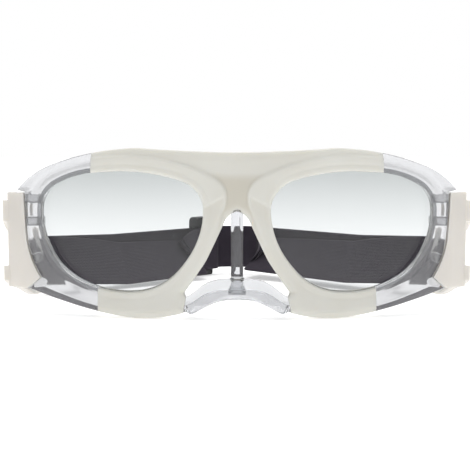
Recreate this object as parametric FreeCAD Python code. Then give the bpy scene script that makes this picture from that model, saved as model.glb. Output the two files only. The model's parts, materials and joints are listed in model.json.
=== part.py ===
"""Sports protective goggles, standing on their lower rims and side arms, strap looped behind.

Millimetres. X runs across the face, Y runs back from the front towards the head, Z is up.
The pieces are drawn with Y = 0 at the front's foremost line and are then moved forward together,
so that the origin is on the table under the middle of the whole goggles.
Left means the side with negative X.
"""

import FreeCAD, Part
import math
import os

V = FreeCAD.Vector
UP = V(0, 0, 1)

# Front: every piece of it lies between cylinders about one upright axis
FRONT_RADIUS = 190.0
RIM_DEPTH = 7.0
# Lens opening of the left rim, as (x, z), clockwise from the nose side
OPENING = [
    (-11.4, 38.5), (-13.3, 43.0), (-18.5, 47.1), (-31.0, 49.9), (-46.0, 50.0), (-54.5, 49.0),
    (-61.8, 46.2), (-66.6, 42.0), (-68.1, 35.5), (-65.8, 24.6), (-58.4, 15.0), (-47.0, 10.0),
    (-35.5, 9.1), (-26.5, 11.4), (-18.5, 18.3), (-13.2, 27.5),
]
# Outer outline of the left half, as (x, z), from the middle of the brow round to the nose gap
BROW = [
    (0.0, 56.8), (-18.0, 57.3), (-34.0, 58.3), (-50.1, 56.5),
    (-63.7, 52.7), (-72.4, 48.2), (-77.6, 43.4),
]
TEMPLE_EDGE = [(-74.6, 42.9), (-74.2, 34.0), (-73.6, 25.5), (-71.6, 18.5), (-68.6, 13.0)]
LOWER_EDGE = [
    (-73.4, 8.8), (-68.1, 7.1), (-59.4, 4.6), (-48.6, 2.0),
    (-39.0, 0.4), (-30.0, 0.1), (-18.4, 2.2),
]
NOTCH = [(-17.5, 7.2)]
LEG_EDGE = [
    (-18.2, 8.9), (-14.6, 14.0), (-10.4, 20.3), (-7.2, 27.0),
    (-4.6, 32.6), (-2.4, 35.9), (0.0, 37.0),
]

# Lenses and their groove
LENS_THICKNESS = 2.0
LENS_SETBACK = 2.8
LENS_BITE = 1.4
GROOVE_CLEARANCE = 0.1

# Soft cover moulded round the middle of the front
COVER_TOP_HALF = 50.0
COVER_BOTTOM_HALF = 48.0
COVER_SPLIT_Z = 30.0
COVER_SKIN = 1.3
CORE_FROM_OPENING = 2.4

# Nose saddle
SADDLE_HALF = 18.8
SADDLE_FRONT_Y = 1.2
SADDLE_DEPTH = 10.0
SADDLE_SHEET = 1.9
SADDLE_STEPS = 8
# Height at the ends, rise to the middle and steepness of the saddle's three edges
SADDLE_BOTTOM = (2.2, 5.7, 1.4)
SADDLE_CREASE = (4.4, 5.8, 2.0)
SADDLE_BACK = (6.4, 6.6, 2.0)
STEM_WIDTH = 4.2
STEM_DEPTH = 3.8
PEG_LENGTH = 3.0
PEG_SIZE = 2.0
PEG_Z = 4.4
PEG_CLEARANCE = 0.1

# Hinges: two knuckle groups on one upright axis each side
HINGE_X = 74.8
HINGE_Y = 24.5
KNUCKLE_RADIUS = 2.7
PIN_RADIUS = 0.9
PIN_CLEARANCE = 0.05
KNUCKLE_GAP = 0.2
ARM_KNUCKLE_HEIGHTS = {"upper": (34.0, 38.6), "lower": (14.0, 17.8)}
FRAME_KNUCKLE_LENGTH = 3.0
LUG_FRONT_Y = 18.5
LUG_WIDTH = 5.4

# Side arms
ARM_WALL = 2.5
ARM_OUTER = [(-81.0, 17.9), (-81.6, 27.0), (-80.6, 38.0), (-78.6, 50.0), (-77.9, 57.6)]
ARM_FRONT_Z = (9.1, 42.6)
ARM_END_Y = 57.6
ARM_END_Z = (1.9, 27.2)
ARM_GAP = 0.3
LIP_BACK_Y = LUG_FRONT_Y - ARM_GAP
RIB_HEIGHT = 1.7
# Heights of each rib: low and high at the front, low and high at the rear
UPPER_RIB = (32.8, 40.4, 19.5, 24.5)
LOWER_RIB = (11.6, 17.0, 3.2, 7.2)
SLOT_Y = 50.4
SLOT_WIDTH = 3.2

# Comfort pad inside each arm
PAD_THICKNESS = 1.9
PAD_FROM_Y = 31.0
PAD_TO_Y = 47.5
# Outline of the pad in side view, as (y, z)
PAD_OUTLINE = [
    (PAD_FROM_Y, 9.5), (PAD_FROM_Y, 35.5), (PAD_FROM_Y + 5, 34.0),
    (PAD_TO_Y, 25.0), (PAD_TO_Y, 3.6), (PAD_FROM_Y + 6, 6.0),
]

# Strap
STRAP_WIDTH = 19.0
STRAP_THICKNESS = 1.2
STRAP_SLOT_CLEARANCE = 0.7
STRAP_AIR = 0.2
STRAP_END_Z = 4.3
STRAP_REAR_Z = 2.6
INNER_LEFT_LEANS = (28.0, 45.0)
INNER_LEFT_FEET = (1.4, 2.6)
INNER_RIGHT_LEANS = (30.0, 46.0)
INNER_RIGHT_FEET = (2.6, 3.6)
INNER_TWIST = 9.0
REAR_LEFT = V(-52.0, 87.0, 0)
REAR_APEX = V(-1.7, 136.0, 0)
REAR_RIGHT = V(52.0, 83.0, 0)
REAR_BEND_RADIUS = 17.0
STITCH_LENGTH = 5.0
STITCH_DEPTH = 0.3
STITCH_ROW = 0.8
STITCH_MARGIN = 1.5

# Slider that shortens the strap
SLIDER_LENGTH = 9.6
SLIDER_TOP = 26.3
SLIDER_RAIL = 2.4
SLIDER_BAR = 1.8
SLIDER_BAR_DEPTH = 1.4
SLIDER_FROM_BEND = 4.2
LOOP_REACH = 1.1

BIG = 60.0


def flat(x, z):
    """A point of the front view."""
    return V(x, 0, z)


def spline(points):
    """Smooth curve through the points."""
    curve = Part.BSplineCurve()
    curve.interpolate(points)
    return curve.toShape()


def arcs(points):
    """Chain of arcs, each over three of an odd number of points."""
    return [Part.Arc(*points[i : i + 3]).toShape() for i in range(0, len(points) - 2, 2)]


def moved_out(points, distance):
    """The points of a closed outline, each moved square to the line between its neighbours, outwards."""
    result = []
    for i, (x, z) in enumerate(points):
        (x0, z0), (x1, z1) = points[i - 1], points[(i + 1) % len(points)]
        length = math.hypot(x1 - x0, z1 - z0)
        result.append((x - (z0 - z1) / length * distance, z - (x1 - x0) / length * distance))
    return result


def through(wire):
    """The front-view wire as a prism that runs right through the front."""
    face = Part.Face(wire)
    face.translate(V(0, -2, 0))
    return face.extrude(V(0, BIG, 0))


def layer(front_setback, back_setback):
    """The space between two depths behind the front's curved face."""
    centre = V(0, FRONT_RADIUS, -5)
    height = 80.0
    outer = Part.makeCylinder(FRONT_RADIUS - front_setback, height, centre, UP)
    inner = Part.makeCylinder(FRONT_RADIUS - back_setback, height, centre, UP)
    return outer.cut(inner)


def mirrored(shape):
    """The same piece for the right-hand side."""
    return shape.mirror(V(0, 0, 0), V(1, 0, 0))


def opening_prism(offset):
    """The left lens opening, grown by offset, as a prism."""
    points = [flat(x, z) for x, z in moved_out(OPENING, offset)]
    return through(Part.Wire(arcs(points + points[:1])))


def both(shape):
    """The left piece and its mirror image."""
    return [shape, mirrored(shape)]


def front_wire(inset=0.0):
    """The whole outline of the front, drawn in by inset, as one closed wire."""
    named_runs = [BROW, TEMPLE_EDGE, LOWER_EDGE, NOTCH, LEG_EDGE]
    left = [point for run in named_runs for point in run]
    loop = left + [(-x, z) for x, z in left[-2:0:-1]]
    drawn_in = moved_out(loop, -inset)
    edges = []
    for sign in (1, -1):
        remaining = [flat(sign * x, z) for x, z in drawn_in[: len(left)]]
        last = None
        for run in named_runs:
            points, remaining = remaining[: len(run)], remaining[len(run) :]
            if last:
                edges.append(Part.makeLine(last, points[0]))
            edges += arcs(points)
            last = points[-1]
    return Part.Wire(Part.sortEdges(edges)[0])


def front_blank():
    """Rims, bridge and end pieces in one, with the openings and lens grooves cut."""
    blank = through(front_wire()).common(layer(0, RIM_DEPTH))
    groove_layer = layer(LENS_SETBACK - GROOVE_CLEARANCE, LENS_SETBACK + LENS_THICKNESS + GROOVE_CLEARANCE)
    groove = opening_prism(LENS_BITE + GROOVE_CLEARANCE).common(groove_layer)
    return blank.cut(both(opening_prism(0)) + both(groove))


def cover_zone(shrink=0.0):
    """The part of the front view that the soft cover wraps."""
    top, bottom = COVER_TOP_HALF - shrink, COVER_BOTTOM_HALF - shrink
    corners = [
        (-top, BIG + 5), (-top, COVER_SPLIT_Z), (-bottom, COVER_SPLIT_Z), (-bottom, -10),
        (bottom, -10), (bottom, COVER_SPLIT_Z), (top, COVER_SPLIT_Z), (top, BIG + 5),
    ]
    points = [flat(x, z) for x, z in corners]
    return through(Part.makePolygon(points + points[:1]))


def front_core():
    """The clear skeleton inside the soft cover."""
    core = through(front_wire(COVER_SKIN)).common(layer(COVER_SKIN, RIM_DEPTH - COVER_SKIN))
    core = core.cut(both(opening_prism(CORE_FROM_OPENING)))
    return core.common(cover_zone(-COVER_SKIN * 2))


def saddle_rise(x, low, rise, power):
    """Bell-shaped height of the saddle at x: flat over the nose, easing out to the rims."""
    share = min(1.0, abs(x) / SADDLE_HALF)
    return low + rise * 0.5 * (1 + math.cos(math.pi * share**power))


def saddle_section(x):
    """Section of the saddle across X: a short upright face, then a sheet that slopes up and back."""
    bottom = saddle_rise(x, *SADDLE_BOTTOM)
    crease = saddle_rise(x, *SADDLE_CREASE)
    back = saddle_rise(x, *SADDLE_BACK)
    front_y, back_y = SADDLE_FRONT_Y, SADDLE_FRONT_Y + SADDLE_DEPTH
    points = [
        V(x, front_y, bottom),
        V(x, front_y, crease),
        V(x, back_y, back),
        V(x, back_y, back - SADDLE_SHEET),
        V(x, front_y + SADDLE_SHEET, bottom),
    ]
    return Part.makePolygon(points + points[:1])


def peg(clearance=0.0):
    """Tongue at the saddle's left end, which plugs into the lower rim."""
    size = PEG_SIZE + 2 * clearance
    length = PEG_LENGTH + clearance
    centre_y = SADDLE_FRONT_Y + 2.0
    corner = V(-SADDLE_HALF - length, centre_y - size / 2, PEG_Z - size / 2)
    return Part.makeBox(length + 1.2, size, size, corner)


def stem_box(width, depth, low, high):
    """Upright bar at the middle with its front edges bevelled."""
    y0 = SADDLE_FRONT_Y - 0.2
    half, bevel = width / 2, width * 0.28
    points = [
        V(-half + bevel, y0, low), V(half - bevel, y0, low), V(half, y0 + bevel, low),
        V(half, y0 + depth, low), V(-half, y0 + depth, low), V(-half, y0 + bevel, low),
    ]
    return Part.Face(Part.makePolygon(points + points[:1])).extrude(V(0, 0, high - low))


def stem_peg(clearance=0.0):
    """Tongue at the stem's top, which plugs into the bridge."""
    size = PEG_SIZE + 2 * clearance
    top = LEG_EDGE[-1][1]
    corner = V(-size / 2, SADDLE_FRONT_Y + 2.0 - size / 2, top - 1.2)
    return Part.makeBox(size, size, PEG_LENGTH + 1.2 + clearance, corner)


def nose_saddle(blank):
    """Clear saddle over the nose, with the stem that braces it to the bridge."""
    steps = [SADDLE_HALF * i / SADDLE_STEPS for i in range(-SADDLE_STEPS, SADDLE_STEPS + 1)]
    saddle = Part.makeLoft([saddle_section(x) for x in steps], True, True)
    foot = saddle_rise(0, *SADDLE_BOTTOM) + 0.2
    stem = stem_box(STEM_WIDTH, STEM_DEPTH, foot, LEG_EDGE[-1][1] + 0.5)
    whole = saddle.fuse([stem]).cut(blank)
    whole = max(whole.Solids, key=lambda solid: solid.Volume)
    return whole.fuse(both(peg()) + [stem_peg()]).removeSplitter()


def upright(radius, low, high):
    """Cylinder on the left hinge axis."""
    return Part.makeCylinder(radius, high - low, V(-HINGE_X, HINGE_Y, low), UP)


def hinge_bore():
    """Hole for both left hinge pins."""
    return upright(PIN_RADIUS + PIN_CLEARANCE, -1.0, BIG)


def knuckle_relief(low, high):
    """Room for a left knuckle to turn in."""
    return upright(KNUCKLE_RADIUS + ARM_GAP, low - KNUCKLE_GAP, high + KNUCKLE_GAP)


def frame_knuckle_heights(group):
    """Heights of the frame's two knuckles, below and above the arm's one."""
    low, high = ARM_KNUCKLE_HEIGHTS[group]
    below = (low - KNUCKLE_GAP - FRAME_KNUCKLE_LENGTH, low - KNUCKLE_GAP)
    above = (high + KNUCKLE_GAP, high + KNUCKLE_GAP + FRAME_KNUCKLE_LENGTH)
    return [below, above]


def frame_knuckles():
    """The left knuckles that stand on the back of the end piece."""
    shapes = []
    for group in ARM_KNUCKLE_HEIGHTS:
        for low, high in frame_knuckle_heights(group):
            shapes.append(upright(KNUCKLE_RADIUS, low, high))
            lug_length = HINGE_Y + KNUCKLE_RADIUS / 2 - LUG_FRONT_Y
            lug_corner = V(-HINGE_X + PIN_RADIUS, LUG_FRONT_Y, low)
            shapes.append(Part.makeBox(LUG_WIDTH, lug_length, high - low, lug_corner))
    return shapes


def front_frame(blank, core):
    """Clear skeleton: full section at both ends, thin core under the cover, hinge knuckles."""
    knuckles = frame_knuckles()
    pieces = [core] + knuckles + [mirrored(k) for k in knuckles]
    reliefs = [knuckle_relief(*heights) for heights in ARM_KNUCKLE_HEIGHTS.values()]
    ends = blank.cut([cover_zone()] + reliefs + [mirrored(r) for r in reliefs])
    frame = ends.fuse(pieces)
    sockets = both(peg(PEG_CLEARANCE)) + [stem_peg(PEG_CLEARANCE)]
    return frame.cut(sockets + both(hinge_bore())).removeSplitter()


def front_cover(blank, core):
    """Soft milky skin over brow, bridge and lower rims."""
    sockets = both(peg(PEG_CLEARANCE)) + [stem_peg(PEG_CLEARANCE)]
    return blank.common(cover_zone()).cut([core] + sockets)


def lens():
    """Left lens: a curved pane whose edge sits in the groove."""
    return opening_prism(LENS_BITE).common(layer(LENS_SETBACK, LENS_SETBACK + LENS_THICKNESS))


def hinge_pin(group):
    """Steel pin through one left knuckle group."""
    below, above = frame_knuckle_heights(group)
    return upright(PIN_RADIUS, below[0], above[1])


def side_prism(points):
    """A (y, z) outline as a prism across the left arm."""
    corners = [V(-BIG * 2, y, z) for y, z in points]
    return Part.Face(Part.makePolygon(corners + corners[:1])).extrude(V(BIG * 1.5, 0, 0))


def arm_profile():
    """Side view of the arm: tall at the hinge, tapering down and back to the strap slot."""
    low, high = ARM_FRONT_Z
    end_low, end_high = ARM_END_Z
    corner = 2.0
    top = [V(0, 23.0, high), V(0, 31.0, high - 2.6), V(0, 41.0, end_high + 4.4), V(0, 50.0, end_high)]
    bottom = [V(0, 49.0, end_low), V(0, 42.0, end_low + 1.2), V(0, 31.0, low - 1.8), V(0, 23.0, low)]
    edges = [
        Part.makeLine(V(0, 10, low), V(0, 10, high)),
        Part.makeLine(V(0, 10, high), top[0]),
        spline(top),
        Part.makeLine(top[-1], V(0, ARM_END_Y - corner, end_high)),
        Part.makeLine(V(0, ARM_END_Y - corner, end_high), V(0, ARM_END_Y, end_high - corner)),
        Part.makeLine(V(0, ARM_END_Y, end_high - corner), V(0, ARM_END_Y, end_low + corner)),
        Part.makeLine(V(0, ARM_END_Y, end_low + corner), V(0, ARM_END_Y - corner, end_low)),
        Part.makeLine(V(0, ARM_END_Y - corner, end_low), bottom[0]),
        spline(bottom),
        Part.makeLine(bottom[-1], V(0, 10, low)),
    ]
    face = Part.Face(Part.Wire(edges))
    face.translate(V(-BIG * 2, 0, 0))
    return face.extrude(V(BIG * 1.5, 0, 0))


def arm_band(outwards, inwards):
    """Plan view of the arm's wall, from outwards of its outer face to inwards of it, as a tall prism."""
    outer = [V(x - outwards, y, -5) for x, y in ARM_OUTER]
    inner = [V(x + inwards, y, -5) for x, y in ARM_OUTER]
    edges = [
        spline(outer),
        Part.makeLine(outer[-1], inner[-1]),
        spline(inner[::-1]),
        Part.makeLine(inner[0], outer[0]),
    ]
    return Part.Face(Part.Wire(edges)).extrude(V(0, 0, BIG))


def rib(front_low, front_high, end_low, end_high):
    """A raised band along the arm's outer face."""
    points = [(17.0, front_low), (17.0, front_high), (46.0, end_high), (46.0, end_low)]
    return side_prism(points).common(arm_band(RIB_HEIGHT, ARM_WALL / 2))


def arm_lip():
    """Front of the arm, which wraps round the end of the rim."""
    low, high = ARM_FRONT_Z
    outline = [flat(x - ARM_GAP, z) for x, z in TEMPLE_EDGE]
    outer_x = ARM_OUTER[0][0]
    foot = flat(LOWER_EDGE[0][0] - ARM_GAP, low)
    rest = [outline[-1], foot, flat(outer_x, low), flat(outer_x, outline[0].z), outline[0]]
    edges = arcs(outline) + [Part.makeLine(a, b) for a, b in zip(rest, rest[1:])]
    lip = through(Part.Wire(Part.sortEdges(edges)[0])).common(layer(0, 2 * RIM_DEPTH))
    reach = Part.makeBox(BIG, LIP_BACK_Y + BIG, high - low, V(-2 * BIG, -BIG, low))
    return lip.common(reach)


def arm():
    """Left side arm: wall, front lip, two ribs, hinge knuckles and the strap slot."""
    wall = arm_profile().common(arm_band(0, ARM_WALL))
    ribs = [rib(*UPPER_RIB), rib(*LOWER_RIB)]
    knuckles = []
    for low, high in ARM_KNUCKLE_HEIGHTS.values():
        knuckles.append(upright(KNUCKLE_RADIUS, low, high))
        knuckles.append(Part.makeBox(4.6, 4.6, high - low, V(-HINGE_X - 4.6, HINGE_Y - 2.3, low)))
    slot_low = STRAP_END_Z - STRAP_SLOT_CLEARANCE
    slot_high = STRAP_END_Z + STRAP_WIDTH + STRAP_SLOT_CLEARANCE
    slot = side_prism([
        (SLOT_Y, slot_low), (SLOT_Y, slot_high),
        (SLOT_Y + SLOT_WIDTH, slot_high), (SLOT_Y + SLOT_WIDTH, slot_low),
    ])
    clear_of_frame = []
    for group in ARM_KNUCKLE_HEIGHTS:
        clear_of_frame += [knuckle_relief(low, high) for low, high in frame_knuckle_heights(group)]
    body = wall.fuse([arm_lip()] + ribs).cut(clear_of_frame).fuse(knuckles)
    return body.cut([slot, hinge_bore()]).removeSplitter()


def arm_pad():
    """Soft pad on the head side of the left arm."""
    pad_shape = arm_profile().common(arm_band(-ARM_WALL, ARM_WALL + PAD_THICKNESS))
    return pad_shape.common(side_prism(PAD_OUTLINE))


def strap_loft(stations):
    """Strap through stations of (foot point in plan, direction inwards, foot height, lean in degrees)."""
    wires = []
    for point, inwards, low, lean in stations:
        angle = math.radians(lean)
        rise = UP * math.cos(angle) - inwards * math.sin(angle)
        thick = inwards * math.cos(angle) + UP * math.sin(angle)
        foot = V(point.x, point.y, low)
        half = thick * (STRAP_THICKNESS / 2)
        top = foot + rise * STRAP_WIDTH
        corners = [foot - half, foot + half, top + half, top - half]
        wires.append(Part.makePolygon(corners + corners[:1]))
    return Part.makeLoft(wires, True, True)


def rear_directions():
    """Plan directions along the two straight stretches of the rear strap, left to right."""
    return (REAR_APEX - REAR_LEFT).normalize(), (REAR_RIGHT - REAR_APEX).normalize()


def inwards_of(along):
    """The side of a strap run that faces the front."""
    return V(along.y, -along.x, 0)


def rear_bend_ends():
    """Where the rear bend starts and ends."""
    left_along, right_along = rear_directions()
    tangent = REAR_BEND_RADIUS * math.tan(left_along.getAngle(right_along) / 2)
    return REAR_APEX - left_along * tangent, REAR_APEX + right_along * tangent


def rear_bend_centre():
    """Centre of the rear bend's arc."""
    return rear_bend_ends()[0] + inwards_of(rear_directions()[0]) * REAR_BEND_RADIUS


def strap_rear():
    """The outer layer of strap behind the head, from side bend to side bend."""
    left_in, right_in = (inwards_of(along) for along in rear_directions())
    left_end, right_end = rear_bend_ends()
    centre = rear_bend_centre()
    middle = ((left_end + right_end) * 0.5 - centre).normalize()
    half = STRAP_THICKNESS / 2

    def face_points(shift):
        """One face of the band: its two far ends and the bend's three points."""
        on_arc = centre + middle * (REAR_BEND_RADIUS - shift)
        return [
            REAR_LEFT + left_in * shift, left_end + left_in * shift, on_arc,
            right_end + right_in * shift, REAR_RIGHT + right_in * shift,
        ]

    near, far = face_points(half), face_points(-half)
    edges = [
        Part.makeLine(near[0], near[1]), Part.Arc(*near[1:4]).toShape(), Part.makeLine(near[3], near[4]),
        Part.makeLine(near[4], far[4]),
        Part.makeLine(far[4], far[3]), Part.Arc(*far[3:0:-1]).toShape(), Part.makeLine(far[1], far[0]),
        Part.makeLine(far[0], near[0]),
    ]
    face = Part.Face(Part.Wire(edges))
    face.translate(V(0, 0, STRAP_REAR_Z))
    return face.extrude(V(0, 0, STRAP_WIDTH))


def arm_bar_points():
    """Plan points of the strap's turn round the left arm's rear bar, outside to inside."""
    outer_x, inner_x = ARM_OUTER[-1][0] - 0.5, ARM_OUTER[-1][0] + ARM_WALL
    away = STRAP_THICKNESS / 2 + STRAP_AIR
    front_y = SLOT_Y + SLOT_WIDTH - away
    back_y = ARM_END_Y + 1.0
    return [
        V(outer_x - away, back_y, 0), V(outer_x - away, front_y, 0),
        V(inner_x + away, front_y, 0), V(inner_x + away, back_y, 0),
    ]


def strap_turn():
    """Where the strap threads the left arm's slot and turns round its rear bar."""
    outer_back, outer_front, inner_front, inner_back = arm_bar_points()
    half = STRAP_THICKNESS / 2

    def run(start, end):
        low = V(min(start.x, end.x), min(start.y, end.y), 0)
        high = V(max(start.x, end.x), max(start.y, end.y), 0)
        size = high - low
        grow_y_back = half if start.y == end.y else 0
        corner = V(low.x - half, low.y - half, STRAP_END_Z)
        return Part.makeBox(size.x + 2 * half, size.y + half + grow_y_back, STRAP_WIDTH, corner)

    runs = [run(outer_back, outer_front), run(outer_front, inner_front), run(inner_front, inner_back)]
    return runs[0].fuse(runs[1:]).removeSplitter()


def inner_foot(bend, inwards, lean):
    """Foot of a leaning inner layer whose top edge lies against the outer layer at a bend."""
    return bend + inwards * (STRAP_THICKNESS + 3 * STRAP_AIR + STRAP_WIDTH * math.sin(math.radians(lean)))


def bend_station(side):
    """Where the inner layer passes the left or right bend."""
    left_along, right_along = rear_directions()
    if side == "left":
        point, along, lean, low = REAR_LEFT, left_along, INNER_LEFT_LEANS[0], INNER_LEFT_FEET[0]
    else:
        point, along, lean, low = REAR_RIGHT, right_along, INNER_RIGHT_LEANS[0], INNER_RIGHT_FEET[0]
    inwards = inwards_of(along)
    return inner_foot(point, inwards, lean), inwards, low, lean


def strap_side(side, layer_name):
    """Strap between an arm's slot and the bend on that side, square to both ends."""
    sign = 1 if side == "left" else -1
    start = arm_bar_points()[0 if layer_name == "outer" else -1]
    first = (V(start.x * sign, start.y, 0), V(sign, 0, 0), STRAP_END_Z, 0.0)
    if layer_name == "inner":
        return strap_loft([first, bend_station(side)])
    bend = REAR_LEFT if side == "left" else REAR_RIGHT
    inwards = bend_station(side)[1]
    return strap_loft([first, (bend, inwards, STRAP_REAR_Z, 0.0)])


def slider_point(u, n):
    """Plan point in the slider's own directions: u along the strap, n towards the front."""
    along = rear_directions()[0]
    middle = rear_bend_ends()[0] - along * SLIDER_FROM_BEND
    return middle + along * u + inwards_of(along) * n


def slider_prism(u_from, u_to, n_from, n_to, low, high):
    """Box in the slider's own directions."""
    corners = [(u_from, n_from), (u_to, n_from), (u_to, n_to), (u_from, n_to)]
    points = [slider_point(u, n) + UP * low for u, n in corners]
    return Part.Face(Part.makePolygon(points + points[:1])).extrude(UP * (high - low))


def slider_levels():
    """Depths of the slider's back bar, middle bar and loop bar, each its rear face."""
    half = STRAP_THICKNESS / 2
    back = -half - STRAP_AIR - SLIDER_BAR_DEPTH
    middle = half + STRAP_AIR
    return back, middle, middle + STRAP_THICKNESS + STRAP_AIR


def loop_levels():
    """Depths of the sewn loop's rear and front faces."""
    _, middle, loop = slider_levels()
    return middle, loop + SLIDER_BAR_DEPTH + STRAP_AIR + STRAP_THICKNESS


def slider():
    """Plastic slider: two rails joined by three bars, with the outer layer straight between them."""
    back, middle, loop = slider_levels()
    half, front = SLIDER_LENGTH / 2, loop + SLIDER_BAR_DEPTH
    low, high = SLIDER_RAIL, SLIDER_TOP - SLIDER_RAIL
    bars = [
        slider_prism(-half, SLIDER_BAR - half, back, back + SLIDER_BAR_DEPTH, low, high),
        slider_prism(-SLIDER_BAR / 2, SLIDER_BAR / 2, middle, middle + SLIDER_BAR_DEPTH, low, high),
        slider_prism(half - SLIDER_BAR, half, loop, front, low, high),
    ]
    rails = [
        slider_prism(-half, half, back, front, 0, low),
        slider_prism(-half, half, back, front, high, SLIDER_TOP),
    ]
    return rails[0].fuse(rails[1:] + bars).removeSplitter()


def strap_loop():
    """The strap's sewn end, folded round the slider's loop bar."""
    rear, front = loop_levels()
    low, high = STRAP_REAR_Z, STRAP_REAR_Z + STRAP_WIDTH
    half = SLIDER_LENGTH / 2
    fold_u, radius = half + LOOP_REACH, (front - rear) / 2
    seam_u = half - SLIDER_BAR - STRAP_AIR
    runs = [
        slider_prism(-half, fold_u, front - STRAP_THICKNESS, front, low, high),
        slider_prism(seam_u - STRAP_THICKNESS, fold_u, rear, rear + STRAP_THICKNESS, low, high),
        slider_prism(seam_u - STRAP_THICKNESS, seam_u, rear, front, low, high),
    ]
    axis = slider_point(fold_u, rear + radius) + UP * low
    ring = Part.makeCylinder(radius, STRAP_WIDTH, axis, UP)
    ring = ring.cut(Part.makeCylinder(radius - STRAP_THICKNESS, STRAP_WIDTH, axis, UP))
    fold = ring.common(slider_prism(fold_u, fold_u + 2 * radius, rear - 1, front + 1, low, high))
    return fold.fuse(runs).removeSplitter()


def strap_left_inner_rear():
    """Inner layer from the left bend, leaning back on the outer layer, to the slider's loop."""
    along = rear_directions()[0]
    inwards, half = inwards_of(along), SLIDER_LENGTH / 2
    lean, low = INNER_LEFT_LEANS[1], INNER_LEFT_FEET[1]
    loop_middle = loop_levels()[1] - STRAP_THICKNESS / 2
    return strap_loft([
        bend_station("left"),
        (inner_foot(slider_point(-half - INNER_TWIST, 0), inwards, lean), inwards, low, lean),
        (slider_point(-half, loop_middle), inwards, STRAP_REAR_Z, 0.0),
    ])


def strap_right_inner_rear():
    """Inner layer from its sewn end, flat on the outer layer, to the right bend."""
    along = rear_directions()[1]
    inwards, start = inwards_of(along), rear_bend_ends()[1]
    lean, low = INNER_RIGHT_LEANS[1], INNER_RIGHT_FEET[1]
    sewn_end = start + along * STITCH_LENGTH
    return strap_loft([
        (start + inwards * STRAP_THICKNESS, inwards, STRAP_REAR_Z, 0.0),
        (sewn_end + inwards * STRAP_THICKNESS, inwards, STRAP_REAR_Z, 0.0),
        (inner_foot(sewn_end + along * INNER_TWIST, inwards, lean), inwards, low, lean),
        bend_station("right"),
    ])


def strap_stitching():
    """Two bar tacks that sew the right inner layer's end down."""
    along = rear_directions()[1]
    inwards = inwards_of(along)
    rows = []
    for share in (0.2, 0.8):
        base = rear_bend_ends()[1] + along * (STITCH_LENGTH * share) + inwards * (STRAP_THICKNESS * 1.5)
        half_row = along * (STITCH_ROW / 2)
        proud = inwards * STITCH_DEPTH
        corners = [base - half_row, base + half_row, base + half_row + proud, base - half_row + proud]
        corners = [V(p.x, p.y, STRAP_REAR_Z + STITCH_MARGIN) for p in corners]
        row = Part.Face(Part.makePolygon(corners + corners[:1]))
        rows.append(row.extrude(UP * (STRAP_WIDTH - 2 * STITCH_MARGIN)))
    return Part.makeCompound(rows)


def build():
    """Every piece by node name."""
    blank, core = front_blank(), front_core()
    nodes = {
        "front_frame": front_frame(blank, core),
        "front_cover": front_cover(blank, core),
        "nose_saddle": nose_saddle(blank),
        "strap_rear": strap_rear(),
        "strap_slider": slider(),
        "strap_loop_end": strap_loop(),
        "strap_left_inner_rear": strap_left_inner_rear(),
        "strap_right_inner_rear": strap_right_inner_rear(),
        "strap_stitching": strap_stitching(),
    }
    left_pieces = {
        "lens_left": lens(),
        "arm_left": arm(),
        "arm_pad_left": arm_pad(),
        "strap_left_turn": strap_turn(),
        "hinge_pin_left_upper": hinge_pin("upper"),
        "hinge_pin_left_lower": hinge_pin("lower"),
    }
    for name, shape in left_pieces.items():
        nodes[name] = shape
        nodes[name.replace("left", "right")] = mirrored(shape)
    for side in ("left", "right"):
        for layer_name in ("outer", "inner"):
            nodes[f"strap_{side}_{layer_name}_side"] = strap_side(side, layer_name)
    return nodes


def main():
    os.makedirs("parts", exist_ok=True)
    depth = rear_bend_centre().y + REAR_BEND_RADIUS + STRAP_THICKNESS / 2
    print(f"origin {depth / 2:.3f} behind the front, hinge pins at y {HINGE_Y - depth / 2:.3f}")
    for name, shape in sorted(build().items()):
        shape.translate(V(0, -depth / 2, 0))
        box = shape.BoundBox
        corners = (box.XMin, box.XMax, box.YMin, box.YMax, box.ZMin, box.ZMax)
        spans = " ".join(f"{corner:.1f}" for corner in corners)
        print(f"{name}: {len(shape.Solids)} solid(s), {shape.Volume:.1f} mm3, {shape.isValid()}, {spans}")
        shape.exportStep(f"parts/{name}.step")


main()
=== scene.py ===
"""Sports protective goggles: clear rims, a milky soft cover, a clear nose saddle, folding side arms and a strap.

Sizes are metres. X runs across the face, Y runs back towards the head and Z is up. Left is negative X.
Outlines are kept in millimetres, in the plane of the front view, and are scaled as they are read.
"""

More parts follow.
